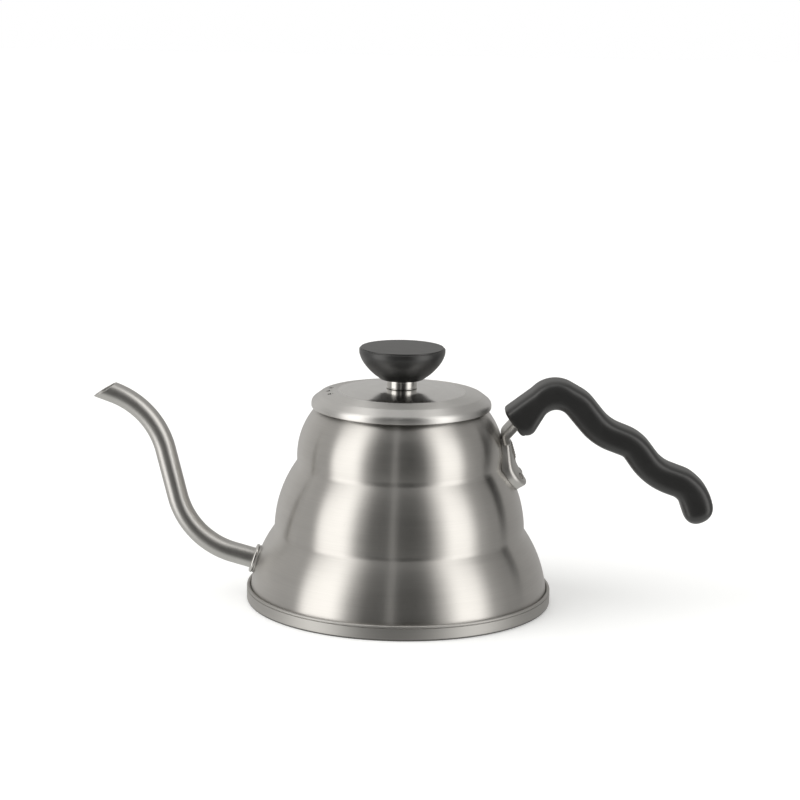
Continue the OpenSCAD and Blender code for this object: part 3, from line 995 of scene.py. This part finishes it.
@dataclass
class Spout:
    """The S-shaped tube and the rings at its root.

    Attributes:
        body: The body that it stands on.
        height: Height at which the tube's axis leaves the body.
        radius, wall: The tube's outer radius and wall.
        inside: Length of the tube inside the body.
        lengths: Lengths of the straight root and the straight riser.
        bends: Centre-line radii of the lower and the upper bend.
        rises: Angles of the axis above the horizontal at the root, the riser and the tip.
        cut_point, cut_slope: A point (x, z) on the plane that cuts the tip, and its slope.
        columns: Number of points round the tube.
        seat_round: Radius of the sphere that the rings at the root are shaped to.
        saddle, flange: Sections of those rings: distance from the axis, height, corner radius.
    """

    body: BodyShell
    height: float = 18.0
    radius: float = 4.9
    wall: float = 0.8
    inside: float = 4.0
    lengths: Pair = (11.3, 23.0)
    bends: Pair = (38.0, 38.8)
    rises: tuple[float, float, float] = (15.5, 75.7, 20.0)
    cut_point: Pair = (-133.9, 102.1)
    cut_slope: float = 32.0
    columns: int = 64
    seat_round: float = 60.0
    saddle: tuple[Corner, ...] = ((4.5, -0.6, 0), (6.75, -0.6, 0), (6.75, 0.65, 0.3), (4.5, 0.65, 0))
    flange: tuple[Corner, ...] = (
        (4.6, 0.75, 0), (6.95, 0.75, 0.6), (6.95, 2.15, 0.65), (5.6, 2.3, 0.5), (4.6, 2.2, 0),
    )

    def root(self) -> np.ndarray:
        """The point where the tube's axis crosses the body's surface."""
        return np.array([-float(self.body.radius_at(np.array(self.height))), 0.0, self.height])

    def axis(self, rows: int = 150) -> tuple[np.ndarray, np.ndarray]:
        """The tube's centre line and its angle above the horizontal.

        The angle is constant along the straights and changes evenly along the bends. The line
        is the running sum of small steps in that direction.

        Args:
            rows: Number of stations.

        Returns:
            The stations' points and their angles in radians.
        """
        first, riser, last = np.radians(self.rises)
        marks = np.cumsum([
            0.0, self.inside + self.lengths[0], self.bends[0] * (riser - first),
            self.lengths[1], self.bends[1] * (riser - last),
        ])
        fine = np.linspace(0, marks[-1], 4001)
        angle = np.interp(fine, marks, [first, first, riser, riser, last])
        step = fine[1] * heading((angle[1:] + angle[:-1]) / 2)
        start = self.root() - self.inside * heading(first)
        line = start + np.concatenate([np.zeros((1, 3)), np.cumsum(step, axis=0)])
        chosen = np.linspace(0, len(fine) - 1, rows).astype(int)
        return line[chosen], angle[chosen]

    def skin(self, radius: float) -> np.ndarray:
        """One skin of the tube: circles square to the axis, then eight rows that lean on to the cut.

        Args:
            radius: The skin's radius.

        Returns:
            The grid of points.
        """
        line, angle = self.axis()
        square = np.stack([np.sin(angle), 0 * angle, np.cos(angle)], -1)[:, None]
        body = line[:, None] + radius * circle(square, ACROSS, self.columns)
        way = heading(angle[-1])
        slope = np.radians(self.cut_slope)
        plane = np.array([-np.sin(slope), 0.0, np.cos(slope)])
        spot = np.array([self.cut_point[0], 0.0, self.cut_point[1]])
        reach = ((spot - body[-1]) @ plane) / (way @ plane)
        share = (np.arange(1, 9) / 8)[:, None, None]
        return np.concatenate([body, body[-1] + share * reach[:, None] * way])

    def build(self, dresser: Dresser) -> None:
        """Makes the tube with a rounded rim, and the two rings at its root.

        Args:
            dresser: Finishes the pieces.
        """
        outer, inner = self.skin(self.radius), self.skin(self.radius - self.wall)
        turn = np.linspace(0, np.pi, 7)[1:-1, None, None]
        middle, half = (outer[-1] + inner[-1]) / 2, (outer[-1] - inner[-1]) / 2
        bulge = 0.6 * self.wall / 2 * heading(np.radians(self.rises[2]))
        lip = middle + half * np.cos(turn) + bulge * np.sin(turn)
        tube = Surface(np.concatenate([outer, lip, inner[::-1]]), ring_rows=True, sharp=50.0).object("spout")
        dresser.place(tube, "spout_steel", Body.KETTLE, "spout_tube")
        saddle, flange = self.collar(self.saddle), self.collar(self.flange)
        dresser.place(saddle.object("spout_solder_ring"), "plain_steel", Body.KETTLE, "spout_saddle")
        dresser.place(flange.object("spout_root_ring"), "polished_steel", Body.KETTLE, "spout_flange")

    def collar(self, corners: tuple[Corner, ...]) -> Surface:
        """A ring about the body's normal at the root, sunk with its radius squared to follow the body.

        Args:
            corners: Its section: distance from the normal, height and corner radius.

        Returns:
            The surface.
        """
        root = self.root()
        out = unit(np.array([-root[0], root[2]]) - self.body.lobes()[2][0])
        normal = np.array([-out[0], 0.0, out[1]])
        section = evened(rounded(corners, closed=True), 0.5, closed=True)
        spoke = circle(np.cross(normal, ACROSS), ACROSS, 96)
        reach, height = section[:, :1], section[:, 1:]
        sunk = height - reach**2 / (2 * self.seat_round)
        return Surface(root + reach[..., None] * spoke + sunk[..., None] * normal, ring_rows=True)

    def hole(self) -> Surface:
        """The hole that the tube needs in the body's wall."""
        way, reach = heading(np.radians(self.rises[0])), 10.0
        return rod(self.root() - reach * way, way, 2 * reach, self.radius + GAP)


# ------------------------------------------------------------------ lid


@dataclass
class Lid:
    """The lid: cap with vents, skirt, ferrule and knob.

    Attributes:
        rim_r, low, crown, sheet: The cap's radius, lower edge, crown height and thickness.
        vent_circle, vent_r, vent_pitch, vent_count: The steam vents' places, in degrees, and size.
        sleeve_r, sleeve_wall, sleeve_low, sleeve_top, sleeve_flange: The skirt's radius, wall,
            lower and upper ends, and how far its flange reaches out.
        knob_r, knob_top: The knob's widest radius and the height of its flat top.
        pocket_r, pocket_h: The hollow for the knob's insert.
        ferrule_r, ferrule_top: The ferrule's radius and the height of its top face.
        hole_r: Radius of the screw's hole.
    """

    rim_r: float = 42.3
    low: float = 93.2
    crown: float = 102.2
    sheet: float = 0.8
    vent_circle: float = 34.0
    vent_r: float = 1.35
    vent_pitch: float = 12.5
    vent_count: int = 3
    sleeve_r: float = 35.5
    sleeve_wall: float = 0.6
    sleeve_low: float = 85.5
    sleeve_top: float = 98.25
    sleeve_flange: float = 3.0
    knob_r: float = 20.2
    knob_top: float = 121.5
    pocket_r: float = 4.05
    pocket_h: float = 9.5
    ferrule_r: float = 7.3
    ferrule_top: float = 106.4
    hole_r: float = 2.2

    def build(self, dresser: Dresser) -> None:
        """Makes the lid's pieces.

        Args:
            dresser: Finishes the pieces.
        """
        dresser.place(self._cap(), "lid_steel", Body.LID, "lid_cap")
        dresser.place(self._skirt().object("lid_sleeve"), "plain_steel", Body.LID_GUIDE, "lid_skirt")
        dresser.place(self._ferrule().object("knob_collar"), "polished_steel", Body.LID, "knob_ferrule")
        dresser.place(self._knob().object("lid_knob"), "phenolic", Body.LID, "knob")

    def _cap(self) -> bpy.types.Object:
        """The domed sheet with its shoulder and rim, and the holes for steam.

        Returns:
            The cap.
        """
        path = [
            (self.hole_r, self.crown, 0),
            (14.9, self.crown, 240),
            (29.7, self.crown - 1.45, 0),
            (38.0, self.crown - 2.85, 2.2),
            (self.rim_r, self.low + 2.9, 2.6),
            (self.rim_r, self.low, 0),
        ]
        top = rounded(path, step=4)
        under = rounded(path, inset=-self.sheet, step=4)
        half = self.sheet / 2
        lip = arc(np.array([self.rim_r - half, self.low]), np.array([half, 0.0]), -np.pi, 30)
        lip[:, 1] = self.low + half * (1 - np.sin(np.linspace(0, np.pi, len(lip))))
        section = np.concatenate([top[:-1], lip, under[::-1][1:]])
        cap = Surface(revolved(evened(section, 1.3, closed=True), 256), ring_rows=True).object("lid_dome")
        number = np.arange(self.vent_count) - (self.vent_count - 1) / 2
        angle = np.radians(180 + number * self.vent_pitch)
        depth = 6.0
        height = np.full(self.vent_count, self.crown - depth)
        places = np.stack([self.vent_circle * np.cos(angle), self.vent_circle * np.sin(angle), height], 1)
        cut(cap, [rod(place, UP, 2 * depth, self.vent_r, 32) for place in places])
        return cap

    def _skirt(self) -> Surface:
        """The sleeve that drops into the mouth, with the flange that rests on the ring.

        Returns:
            The surface.
        """
        inner, outer = self.sleeve_r - self.sleeve_wall, self.sleeve_r
        reach = outer + self.sleeve_flange
        return lathe([
            (inner, self.sleeve_low, 0.25),
            (outer, self.sleeve_low, 0.25),
            (outer, self.low, 0.2),
            (reach, self.low, 0.25),
            (reach, self.low + self.sleeve_wall, 0.25),
            (outer, self.low + self.sleeve_wall, 0.2),
            (outer, self.sleeve_top, 0.2),
            (inner, self.sleeve_top, 0.2),
        ])

    def _ferrule(self) -> Surface:
        """The polished spacer under the knob, with a fine bead round its foot.

        Returns:
            The surface.
        """
        low = self.crown + GAP
        return lathe([
            (self.hole_r, low, 0),
            (self.ferrule_r, low, 0.25),
            (self.ferrule_r, low + 0.45, 0.12),
            (self.ferrule_r - 0.2, low + 0.6, 0.12),
            (self.ferrule_r - 0.15, self.ferrule_top, 0.5),
            (self.hole_r, self.ferrule_top, 0),
        ], gap=0.6, columns=128)

    def _knob(self) -> Surface:
        """The bowl-shaped knob: belly, rounded rim, a fine step and a flat top.

        Returns:
            The surface.
        """
        foot, top, r = self.ferrule_top + GAP, self.knob_top, self.knob_r
        return lathe([
            (self.pocket_r, foot, 0),
            (10.0, foot, 0.8),
            (14.6, foot + 3.4, 22),
            (r - 1.1, top - 6.3, 14),
            (r, top - 2.7, 4),
            (r, top - 0.5, 0.5),
            (r - 0.7, top - 0.55, 0.05),
            (r - 0.75, top, 0.12),
            (0.0, top, 0),
            (0.0, foot + self.pocket_h, 0),
            (self.pocket_r, foot + self.pocket_h, 0),
        ], gap=1.0)


# ------------------------------------------------------------------ grip


@dataclass
class Grip:
    """The moulded grip: rounded sections between its belly and its back.

    Attributes:
        width: Width across the kettle.
        edge: Radius of the long edges.
        end_round: Radius of the edge of the flat end face.
        tip_round, tip_power: Length over which the sides close at the tip, and how squarely.
        tip_pace: How much closer together the sections lie towards the tip.
        bore_r, bore_low: The bore that sinks the screw's head, and a height below its mouth.
        shank, washer_room: Length of the screw under its head, and room for its washer.
        corners: Side outline in x and z with corner radii, from the end face round the belly.
        rungs: Pairs of points near the outline, on the belly and on the back, that a section joins.
    """

    width: float = 20.0
    edge: float = 5.0
    end_round: float = 1.6
    tip_round: float = 7.0
    tip_power: float = 2.6
    tip_pace: float = 1.35
    bore_r: float = 4.4
    bore_low: float = 80.0
    shank: float = 9.0
    washer_room: float = 0.9
    corners: tuple[Corner, ...] = (
        (48.4, 92.8, 2.0), (49.5, 90.0, 1.5), (59.8, 78.0, 4.5), (71.6, 98.4, 6.5),
        (89.4, 77.5, 31.5), (104.5, 72.0, 4.0), (114.6, 58.0, 35.0), (131.0, 52.4, 6.5),
        (136.4, 37.4, 6.6), (149.4, 43.0, 8.0), (145.5, 57.4, 21.5), (137.0, 64.5, 16.5),
        (123.6, 69.4, 16.0), (113.6, 82.5, 23.5), (98.4, 88.4, 19.0), (88.0, 101.0, 19.5),
        (70.0, 111.1, 15.0), (61.0, 102.4, 10.0),
    )
    rungs: tuple[tuple[float, float, float, float], ...] = (
        (58.3, 79.7, 49.3, 93.6), (62.3, 80.5, 55.0, 98.0), (66.8, 89.5, 62.0, 104.0),
        (72.3, 93.7, 72.3, 109.4), (80.0, 88.5, 85.0, 102.3), (90.1, 78.4, 98.2, 89.6),
        (104.0, 72.5, 112.5, 82.0), (115.3, 59.8, 122.9, 70.6), (130.6, 53.0, 138.6, 62.6),
        (133.5, 45.6, 147.5, 50.0), (142.9, 40.2, 142.9, 40.2),
    )

    def edges(self, rows: int) -> tuple[np.ndarray, np.ndarray]:
        """The belly's and the back's points that each section joins.

        Each rung's ends are put on the outline at its nearest points, and the sections between
        two rungs divide both stretches of the outline evenly.

        Args:
            rows: Number of sections.

        Returns:
            The belly's points and the back's points, (x, z) rows.
        """
        outline = evened(rounded(self.corners, closed=True, step=3), 0.25, closed=True)
        loop = np.vstack([outline, outline[:1]])
        place = run_length(loop)
        marks = np.array(self.rungs)
        pace = run_length((marks[:, :2] + marks[:, 2:]) / 2)
        spread = pace[-1] * (1 - (1 - np.linspace(0, 1, rows)) ** self.tip_pace)
        reach = 4

        def edge(spots: np.ndarray) -> np.ndarray:
            """The outline's points for every section, smoothed along the outline.

            Args:
                spots: One end of each rung.

            Returns:
                (x, z) rows.
            """
            gaps = np.linalg.norm(outline[None] - spots[:, None], axis=2)
            nearest = np.unwrap(place[gaps.argmin(axis=1)], period=place[-1])
            padded = np.pad(np.interp(spread, pace, nearest), reach, mode="reflect", reflect_type="odd")
            smooth = np.convolve(padded, np.full(2 * reach + 1, 1 / (2 * reach + 1)), mode="valid")
            along = np.mod(smooth, place[-1])
            return np.stack([np.interp(along, place, loop[:, k]) for k in (0, 1)], 1)

        return edge(marks[:, :2]), edge(marks[:, 2:])

    def power(self, half: np.ndarray) -> np.ndarray:
        """Exponent that gives a superellipse corners as full as the edge radius does.

        Its diagonal point lies (1 - 2^(-1/n)) of the half size in, and a quarter circle's
        lies (1 - sqrt(1/2)) of its radius in.

        Args:
            half: Half size of the section.

        Returns:
            The exponent n.
        """
        inset = (1 - np.sqrt(0.5)) * np.minimum(self.edge / np.maximum(half, 0.1), 1.0)
        return -np.log(2) / np.log(1 - inset)

    def points(self, rows: int = 220, columns: int = 72) -> np.ndarray:
        """Sections of the form |y/b|^m + |q/h|^n = 1, q along the rung and b the half width.

        The half width falls to nothing over the last stretch, which rounds the tip, and a
        quarter circle rounds the edge of the flat end face.

        Args:
            rows: Number of sections.
            columns: Number of points round a section.

        Returns:
            The grid of points, from the middle of the end face to the tip.
        """
        belly, back = self.edges(rows)
        middle, half = (belly + back) / 2, (back - belly) / 2
        left = run_length(middle)[-1] - run_length(middle)
        closing = np.clip(1 - left / self.tip_round, 0, 1)
        breadth = self.width / 2 * (1 - closing**self.tip_power) ** (1 / self.tip_power)
        turn = np.linspace(0, 2 * np.pi, columns, endpoint=False)
        tall = self.power(np.linalg.norm(half, axis=1))[:, None]
        wide = self.power(np.array(self.width / 2))
        q = np.sign(np.sin(turn)) * np.abs(np.sin(turn)) ** (2 / tall)
        y = np.sign(np.cos(turn)) * np.abs(np.cos(turn)) ** (2 / wide)
        rung = np.stack([half[:, 0], 0 * left, half[:, 1]], 1)
        centre = np.stack([middle[:, 0], 0 * left, middle[:, 1]], 1)
        body = centre[:, None] + q[..., None] * rung[:, None] + (y * breadth[:, None])[..., None] * ACROSS
        length = np.linalg.norm(rung[0])
        outward = np.array([-rung[0, 2], 0.0, rung[0, 0]]) / length
        quarter = np.linspace(0, np.pi / 2, 7)[:0:-1]
        shrink = self.end_round * (1 - np.cos(quarter))
        tall_share = (1 - shrink / length)[:, None, None]
        wide_share = (1 - shrink / (self.width / 2))[:, None]
        cap = centre[0] + tall_share * q[0][:, None] * rung[0]
        cap = cap + (y * breadth[0] * wide_share)[..., None] * ACROSS
        cap = cap + (self.end_round * np.sin(quarter))[:, None, None] * outward
        hub = cap[0].mean(axis=0)
        face = hub + np.array([0.0, 0.35, 0.7])[:, None, None] * (cap[0] - hub)
        return np.concatenate([face, cap, body])

    def build(self, dresser: Dresser) -> None:
        """Makes the grip and bores the seat of its screw.

        Args:
            dresser: Finishes the pieces.
        """
        sharp = 45.0
        grip = Surface(self.points(), sharp=sharp).object("grip")
        low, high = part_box("handle_screw")
        seat = high[2] / MM - self.shank + self.washer_room
        start = np.array([(low[0] + high[0]) / 2 / MM, 0.0, self.bore_low])
        cut(grip, [rod(start, UP, seat - self.bore_low, self.bore_r)], sharp)
        dresser.place(grip, "phenolic", Body.KETTLE, "handle_grip")


# ------------------------------------------------------------------ bracket


@dataclass
class Bracket:
    """The pressed steel bracket: a dished foot on the body and a channel up to the grip.

    Attributes:
        body: The body that it stands on.
        foot_w, foot_top_w, neck_w: Widths of the foot, of its top and of the neck.
        end_r: Radius of the foot's round end.
        flare: Share of the foot's length over which it widens.
        sheet: Thickness of the sheet.
        neck_depth, neck_r: Depth of the neck's flanges and radius of its edges.
        edge_r: Radius of the foot's pressed edge.
        arch: How far the foot's middle stands above its sides.
        pad: Where the weld's pad starts and ends along the foot.
        spot_r, spot_in, spot_side: The spot welds' radius, and their places from the foot's end
            and from its middle.
        foot_line: Hand side of the foot in x and z with corner radii, top to bottom.
        neck_line: Hand side of the neck, from the foot to inside the grip.
    """

    body: BodyShell
    foot_w: float = 25.0
    foot_top_w: float = 14.0
    neck_w: float = 17.0
    end_r: float = 11.5
    flare: float = 0.55
    sheet: float = 1.2
    neck_depth: float = 2.6
    neck_r: float = 1.8
    edge_r: float = 1.6
    arch: float = 2.6
    pad: Pair = (2.6, 12.0)
    spot_r: float = 1.7
    spot_in: float = 5.5
    spot_side: float = 6.0
    foot_line: tuple[Corner, ...] = (
        (50.8, 80.6, 0), (53.6, 71.0, 14), (54.9, 66.4, 10), (60.2, 57.6, 0),
    )
    neck_line: tuple[Corner, ...] = ((49.1, 77.2, 0), (48.1, 81.2, 3.2), (55.2, 89.4, 0))
    track: Track = field(init=False)

    def __post_init__(self) -> None:
        """Lays out the foot's line."""
        self.track = Track(self.foot_line, 0.4)

    def plan(self) -> np.ndarray:
        """The foot's edge laid flat: a tongue that widens downwards and has a round end.

        Returns:
            (distance along the foot, sideways) rows, down one side and up the other.
        """
        half, length, r = self.foot_w / 2, self.track.length, self.end_r
        straight = np.linspace(0, length - r, 40)
        turn = np.linspace(0, np.pi / 2, 16)[1:]
        flat = np.linspace(half - r, 0, 4)[1:]
        down = np.concatenate([straight, length - r + r * np.sin(turn), np.full(len(flat), length)])
        side = np.concatenate([np.full(len(straight), half), half - r + r * np.cos(turn), flat])
        spread = np.clip(down / (self.flare * length), 0, 1)
        eased = spread**2 * (3 - 2 * spread)
        side = side * (self.foot_top_w + (self.foot_w - self.foot_top_w) * eased) / self.foot_w
        return np.stack([np.concatenate([down, down[-2::-1]]), np.concatenate([side, -side[-2::-1]])], 1)

    def foot(self) -> Surface:
        """The dished foot.

        Rows run from the rim on the body up the wall, over a quarter circle and across the web
        to the middle line; columns follow the plan.

        Returns:
            The open sheet's outer face.
        """
        plan, length = self.plan(), self.track.length
        way = np.gradient(plan, axis=0)
        way /= np.linalg.norm(way, axis=1)[:, None]
        inward = np.stack([-way[:, 1], way[:, 0]], 1)
        inward *= np.sign(np.sum(inward * (np.array([length / 2, 0.0]) - plan), axis=1))[:, None]
        quarter = np.linspace(0, np.pi / 2, 7)
        inset = self.edge_r * (1 - np.cos(quarter))
        drop = self.edge_r * (1 - np.sin(quarter))
        rim_rows = plan + inset[:, None, None] * inward
        spine = np.stack([np.minimum(rim_rows[-1, :, 0], length - self.end_r), 0 * rim_rows[-1, :, 1]], 1)
        share = np.linspace(0, 1, 9)[1:, None, None]
        rows = np.concatenate([rim_rows, rim_rows[-1] + share * (spine - rim_rows[-1])])
        depth = np.concatenate([drop, np.zeros(len(share))])[:, None] + self.sag(rows[..., 1])
        top = self.track.lifted(rows, -depth)
        landing = self.body.onto(top[0], -self.track.normal(plan[:, 0]))
        climb = np.linspace(0, 1, 6)[:-1, None, None]
        return Surface(np.concatenate([landing + climb * (top[0] - landing), top]), ring_columns=False)

    def sag(self, side: np.ndarray) -> np.ndarray:
        """How far the foot's face lies below its middle line: arch times (side / half width) squared."""
        return self.arch * (side / (self.foot_w / 2)) ** 2

    def neck(self) -> Surface:
        """The neck: a channel section with round edges carried along its line.

        Returns:
            The open sheet's outer face.
        """
        track, half = Track(self.neck_line, 0.5), self.neck_w / 2
        section = evened(rounded([
            (-self.neck_depth, half, 0), (0.0, half, self.neck_r),
            (0.0, -half, self.neck_r), (-self.neck_depth, -half, 0),
        ], step=8), 0.8)
        along = np.broadcast_to(track.place[:, None], (len(track.place), len(section)))
        side = np.broadcast_to(section[:, 1], along.shape)
        lift = np.broadcast_to(section[:, 0], along.shape)
        return Surface(track.lifted(np.stack([along, side], -1), lift), ring_columns=False)

    def build(self, dresser: Dresser) -> None:
        """Makes the foot, the neck and the welds.

        Args:
            dresser: Finishes the pieces.
        """
        foot, neck = self.foot().object("bracket_dished_foot"), self.neck().object("bracket_channel")
        for piece, node in ((foot, "bracket_foot"), (neck, "bracket_neck")):
            self._thicken(piece)
            dresser.place(piece, "bracket_steel", Body.KETTLE, node)
        dresser.place(self.bead().object("neck_weld"), "weld", Body.KETTLE, "bracket_weld")
        dresser.place(self.nuggets(), "weld", Body.KETTLE, "spot_welds")

    def _thicken(self, piece: bpy.types.Object) -> None:
        """Gives an open sheet its thickness, inwards, and eases its edges.

        Args:
            piece: The sheet.
        """
        normals = np.empty(3 * len(piece.data.polygons), np.float32)
        piece.data.polygons.foreach_get("normal", normals)
        if normals[::3].sum() < 0:
            piece.data.flip_normals()
        wall = piece.modifiers.new("sheet", "SOLIDIFY")
        wall.thickness = self.sheet * MM
        wall.offset = -1.0
        wall.use_even_offset = True
        edge = piece.modifiers.new("edge", "BEVEL")
        edge.width = 0.25 * MM
        edge.segments = 2
        edge.limit_method = "ANGLE"
        edge.angle_limit = np.radians(50)
        settle(piece)
        shade(piece.data, 40.0)

    def bead(self) -> Surface:
        """The weld on the foot's top: a low pad with a crossed ripple.

        Its face stands 0.5 + 0.2 sin(3.4 s + 1.7 t) sin(1.9 s - 2.6 t) off the foot, s along the
        foot and t across it, and drops below it at the pad's edges; its back lies inside the foot.

        Returns:
            The surface.
        """
        start, end = self.pad
        middle, reach = (start + end) / 2, (end - start) / 2
        s = np.linspace(start, end, 90)[:, None]
        t = np.linspace(-1, 1, 70) * (self.foot_top_w / 2 - self.edge_r)
        ends = 1 - ((s - middle) / reach) ** 8
        fade = ends * (1 - (t / t[-1]) ** 8)
        sunk = 0.4
        ripple = 0.2 * np.sin(3.4 * s + 1.7 * t) * np.sin(1.9 * s - 2.6 * t)
        face = (0.5 + sunk + ripple) * fade - sunk
        back = -sunk - sunk * ends + 0 * t
        lift = np.concatenate([face, back[:, ::-1]], axis=1)
        across = np.broadcast_to(np.concatenate([t, t[::-1]]), lift.shape)
        plan = np.stack([np.broadcast_to(s, lift.shape), across], -1)
        return Surface(self.track.lifted(plan, lift - self.sag(across)))

    def nuggets(self) -> bpy.types.Object:
        """Two low round weld spots on the foot's end, as one piece.

        Returns:
            The piece.
        """
        rise, tall = 0.1, 0.55
        spin = np.linspace(0, 2 * np.pi, 32, endpoint=False)
        tilt = np.linspace(-np.pi / 2, np.pi / 2, 13)[:, None]
        made = []
        for number, side in enumerate((-self.spot_side, self.spot_side)):
            along = self.track.length - self.spot_in + self.spot_r * np.cos(tilt) * np.cos(spin)
            across = side + self.spot_r * np.cos(tilt) * np.sin(spin)
            lift = rise + tall * np.sin(tilt) - self.sag(across)
            spot = self.track.lifted(np.stack([along, across], -1), lift)
            made.append(Surface(spot).object(f"spot_{number}"))
        return joined(made, "foot_welds")


# ------------------------------------------------------------------ studio


@dataclass
class Studio:
    """Floor, light and camera.

    Attributes:
        distance: Camera's distance from the frame's origin, in metres.
        elevation: Camera's angle above the floor, seen from the origin, in degrees.
        aim: Point at the picture's centre, in metres.
        roll: Camera's turn about its own axis, in degrees.
        lens: Focal length on a 36 mm sensor.
        bands: Brightness of the room at each azimuth, which is 0 at the camera and grows to +X.
        overhead, zenith, ground: Sines of the angles between which the room turns into its
            upper part, its top and its floor.
        overhead_share, overhead_base: The upper part is the bands times the first plus the second.
        zenith_light, ground_light: Light of the top and of the floor.
        fill: Light that falls on matt surfaces.
        key_at, key_energy, key_spread: The key light's direction, strength and angle in degrees.
        glow: Strength of the floor's own light.
    """

    distance: float = 1.2
    elevation: float = 15.98
    aim: tuple[float, float, float] = (-0.0007, 0.0, 0.0962)
    roll: float = 1.003
    lens: float = 112.8
    bands: tuple[Pair, ...] = (
        (-180, 0.52), (-144, 0.66), (-104, 0.52), (-86, 0.52), (-78, 1.95), (-52, 1.95), (-39, 0.42),
        (-28, 0.10), (-10, 0.08), (-7.5, 0.34), (-4.5, 0.34), (-2, 0.05), (14, 0.04), (27, 0.10),
        (38, 0.70), (50, 1.90), (67, 1.95), (80, 0.58), (95, 0.36), (125, 0.40), (180, 0.52),
    )
    overhead: Pair = (0.84, 0.97)
    zenith: Pair = (0.972, 0.99)
    ground: Pair = (-0.42, -0.72)
    overhead_share: Colour = (0.45, 0.45, 0.45)
    overhead_base: Colour = (0.35, 0.35, 0.34)
    zenith_light: Colour = (1.35, 1.35, 1.33)
    ground_light: Colour = (0.72, 0.72, 0.70)
    fill: Colour = (0.76, 0.76, 0.755)
    key_at: tuple[float, float, float] = (-0.9, -0.2, 0.8)
    key_energy: float = 1.25
    key_spread: float = 50.0
    glow: float = 0.22

    def build(self) -> None:
        """Makes the floor, the room's light, a key light and the camera."""
        self._floor()
        self._room()
        self._key()
        self._camera()
        bpy.context.scene.view_settings.view_transform = "Standard"

    def _floor(self) -> None:
        """A plain pale floor at the rest face's height."""
        half = 4.0
        mesh = bpy.data.meshes.new("floor")
        corners = [(-half, -half, 0), (half, -half, 0), (half, half, 0), (-half, half, 0)]
        mesh.from_pydata(corners, [], [(0, 1, 2, 3)])
        floor = bpy.data.objects.new("floor", mesh)
        bpy.context.scene.collection.objects.link(floor)
        made, graph = blank_material("floor_paper")
        paper = graph.add("ShaderNodeBsdfPrincipled", {"Base Color": (0.9, 0.9, 0.89, 1.0), "Roughness": 0.9})
        paper.inputs["Emission Color"].default_value = (1.0, 1.0, 0.99, 1.0)
        paper.inputs["Emission Strength"].default_value = self.glow
        graph.finish(paper)
        mesh.materials.append(made)
        floor.visible_glossy = False

    def _room(self) -> None:
        """The room: bands of light and shade round the object for reflections, and white elsewhere."""
        world = bpy.data.worlds.new("room")
        bpy.context.scene.world = world
        world.use_nodes = True
        graph = Graph(world.node_tree)
        axes = graph.parts(graph.place("Generated"))
        bands = self._bands(graph, axes)
        overhead = graph.remap(axes["Z"], self.overhead, curve="SMOOTHSTEP")
        above = graph.vector("MULTIPLY_ADD", {0: bands, 1: self.overhead_share, 2: self.overhead_base})
        zenith = graph.remap(axes["Z"], self.zenith, curve="SMOOTHSTEP")
        above = graph.blend(zenith, above, (*self.zenith_light, 1.0))
        around = graph.blend(graph.remap(axes["Z"], self.ground), bands, (*self.ground_light, 1.0))
        seen = graph.blend(overhead, around, above)
        path = graph.add("ShaderNodeLightPath").outputs
        lit = graph.math("MAXIMUM", path["Is Camera Ray"], path["Is Diffuse Ray"])
        plain = graph.blend(path["Is Diffuse Ray"], (1.0, 1.0, 1.0, 1.0), (*self.fill, 1.0))
        back = graph.add("ShaderNodeBackground", {"Color": graph.blend(lit, seen, plain), "Strength": 1.0})
        graph.finish(back, "ShaderNodeOutputWorld")

    def _bands(self, graph: Graph, axes: bpy.types.bpy_prop_collection) -> Socket:
        """The light of the room at each azimuth, a little warmer than white.

        Args:
            graph: The world's graph.
            axes: The direction looked at.

        Returns:
            The colour.
        """
        azimuth = graph.math("ARCTAN2", axes["X"], graph.math("MULTIPLY", axes["Y"], -1.0))
        share = graph.math("MULTIPLY_ADD", azimuth, 1 / (2 * np.pi), 0.5)
        ramp = graph.add("ShaderNodeValToRGB", {"Fac": share})
        stops = ramp.color_ramp.elements
        top = max(level for _, level in self.bands)
        for number, (angle, level) in enumerate(self.bands):
            spot = (angle + 180) / 360
            stop = stops[number] if number < 2 else stops.new(spot)
            stop.position = spot
            stop.color = (level / top, level / top * 0.985, level / top * 0.96, 1.0)
        return graph.vector("SCALE", {0: ramp.outputs["Color"], "Scale": top})

    def _key(self) -> None:
        """A very soft light from the upper left, which throws a faint shadow to the right."""
        lamp = bpy.data.lights.new("key", "SUN")
        lamp.energy = self.key_energy
        lamp.angle = np.radians(self.key_spread)
        key = bpy.data.objects.new("key", lamp)
        key.location = self.key_at
        key.rotation_mode = "QUATERNION"
        key.rotation_quaternion = (-key.location).to_track_quat("-Z", "Y")
        key.visible_glossy = False
        bpy.context.scene.collection.objects.link(key)

    def _camera(self) -> None:
        """The camera at its angle above the floor, turned a little about its own axis."""
        rise = np.radians(self.elevation)
        camera = bpy.data.objects.new("camera", bpy.data.cameras.new("camera"))
        camera.data.lens = self.lens
        camera.data.sensor_width = 36.0
        camera.location = (0.0, -self.distance * np.cos(rise), self.distance * np.sin(rise))
        look = (Vector(self.aim) - camera.location).to_track_quat("-Z", "Y")
        camera.rotation_mode = "QUATERNION"
        camera.rotation_quaternion = look @ Quaternion((0.0, 0.0, 1.0), np.radians(self.roll))
        bpy.context.scene.collection.objects.link(camera)
        bpy.context.scene.camera = camera


# ------------------------------------------------------------------ whole kettle


def main() -> None:
    """Builds the kettle's pieces in order, then the studio."""
    logging.basicConfig(level=logging.INFO, format="%(name)s %(message)s")
    dresser = Dresser(Effects())
    body = BodyShell()
    spout = Spout(body)
    body.build(dresser, spout.hole())
    spout.build(dresser)
    Lid().build(dresser)
    Bracket(body).build(dresser)
    Grip().build(dresser)
    dresser.dress_frame(frame["record"])
    Studio().build()


if __name__ == "__main__":
    main()
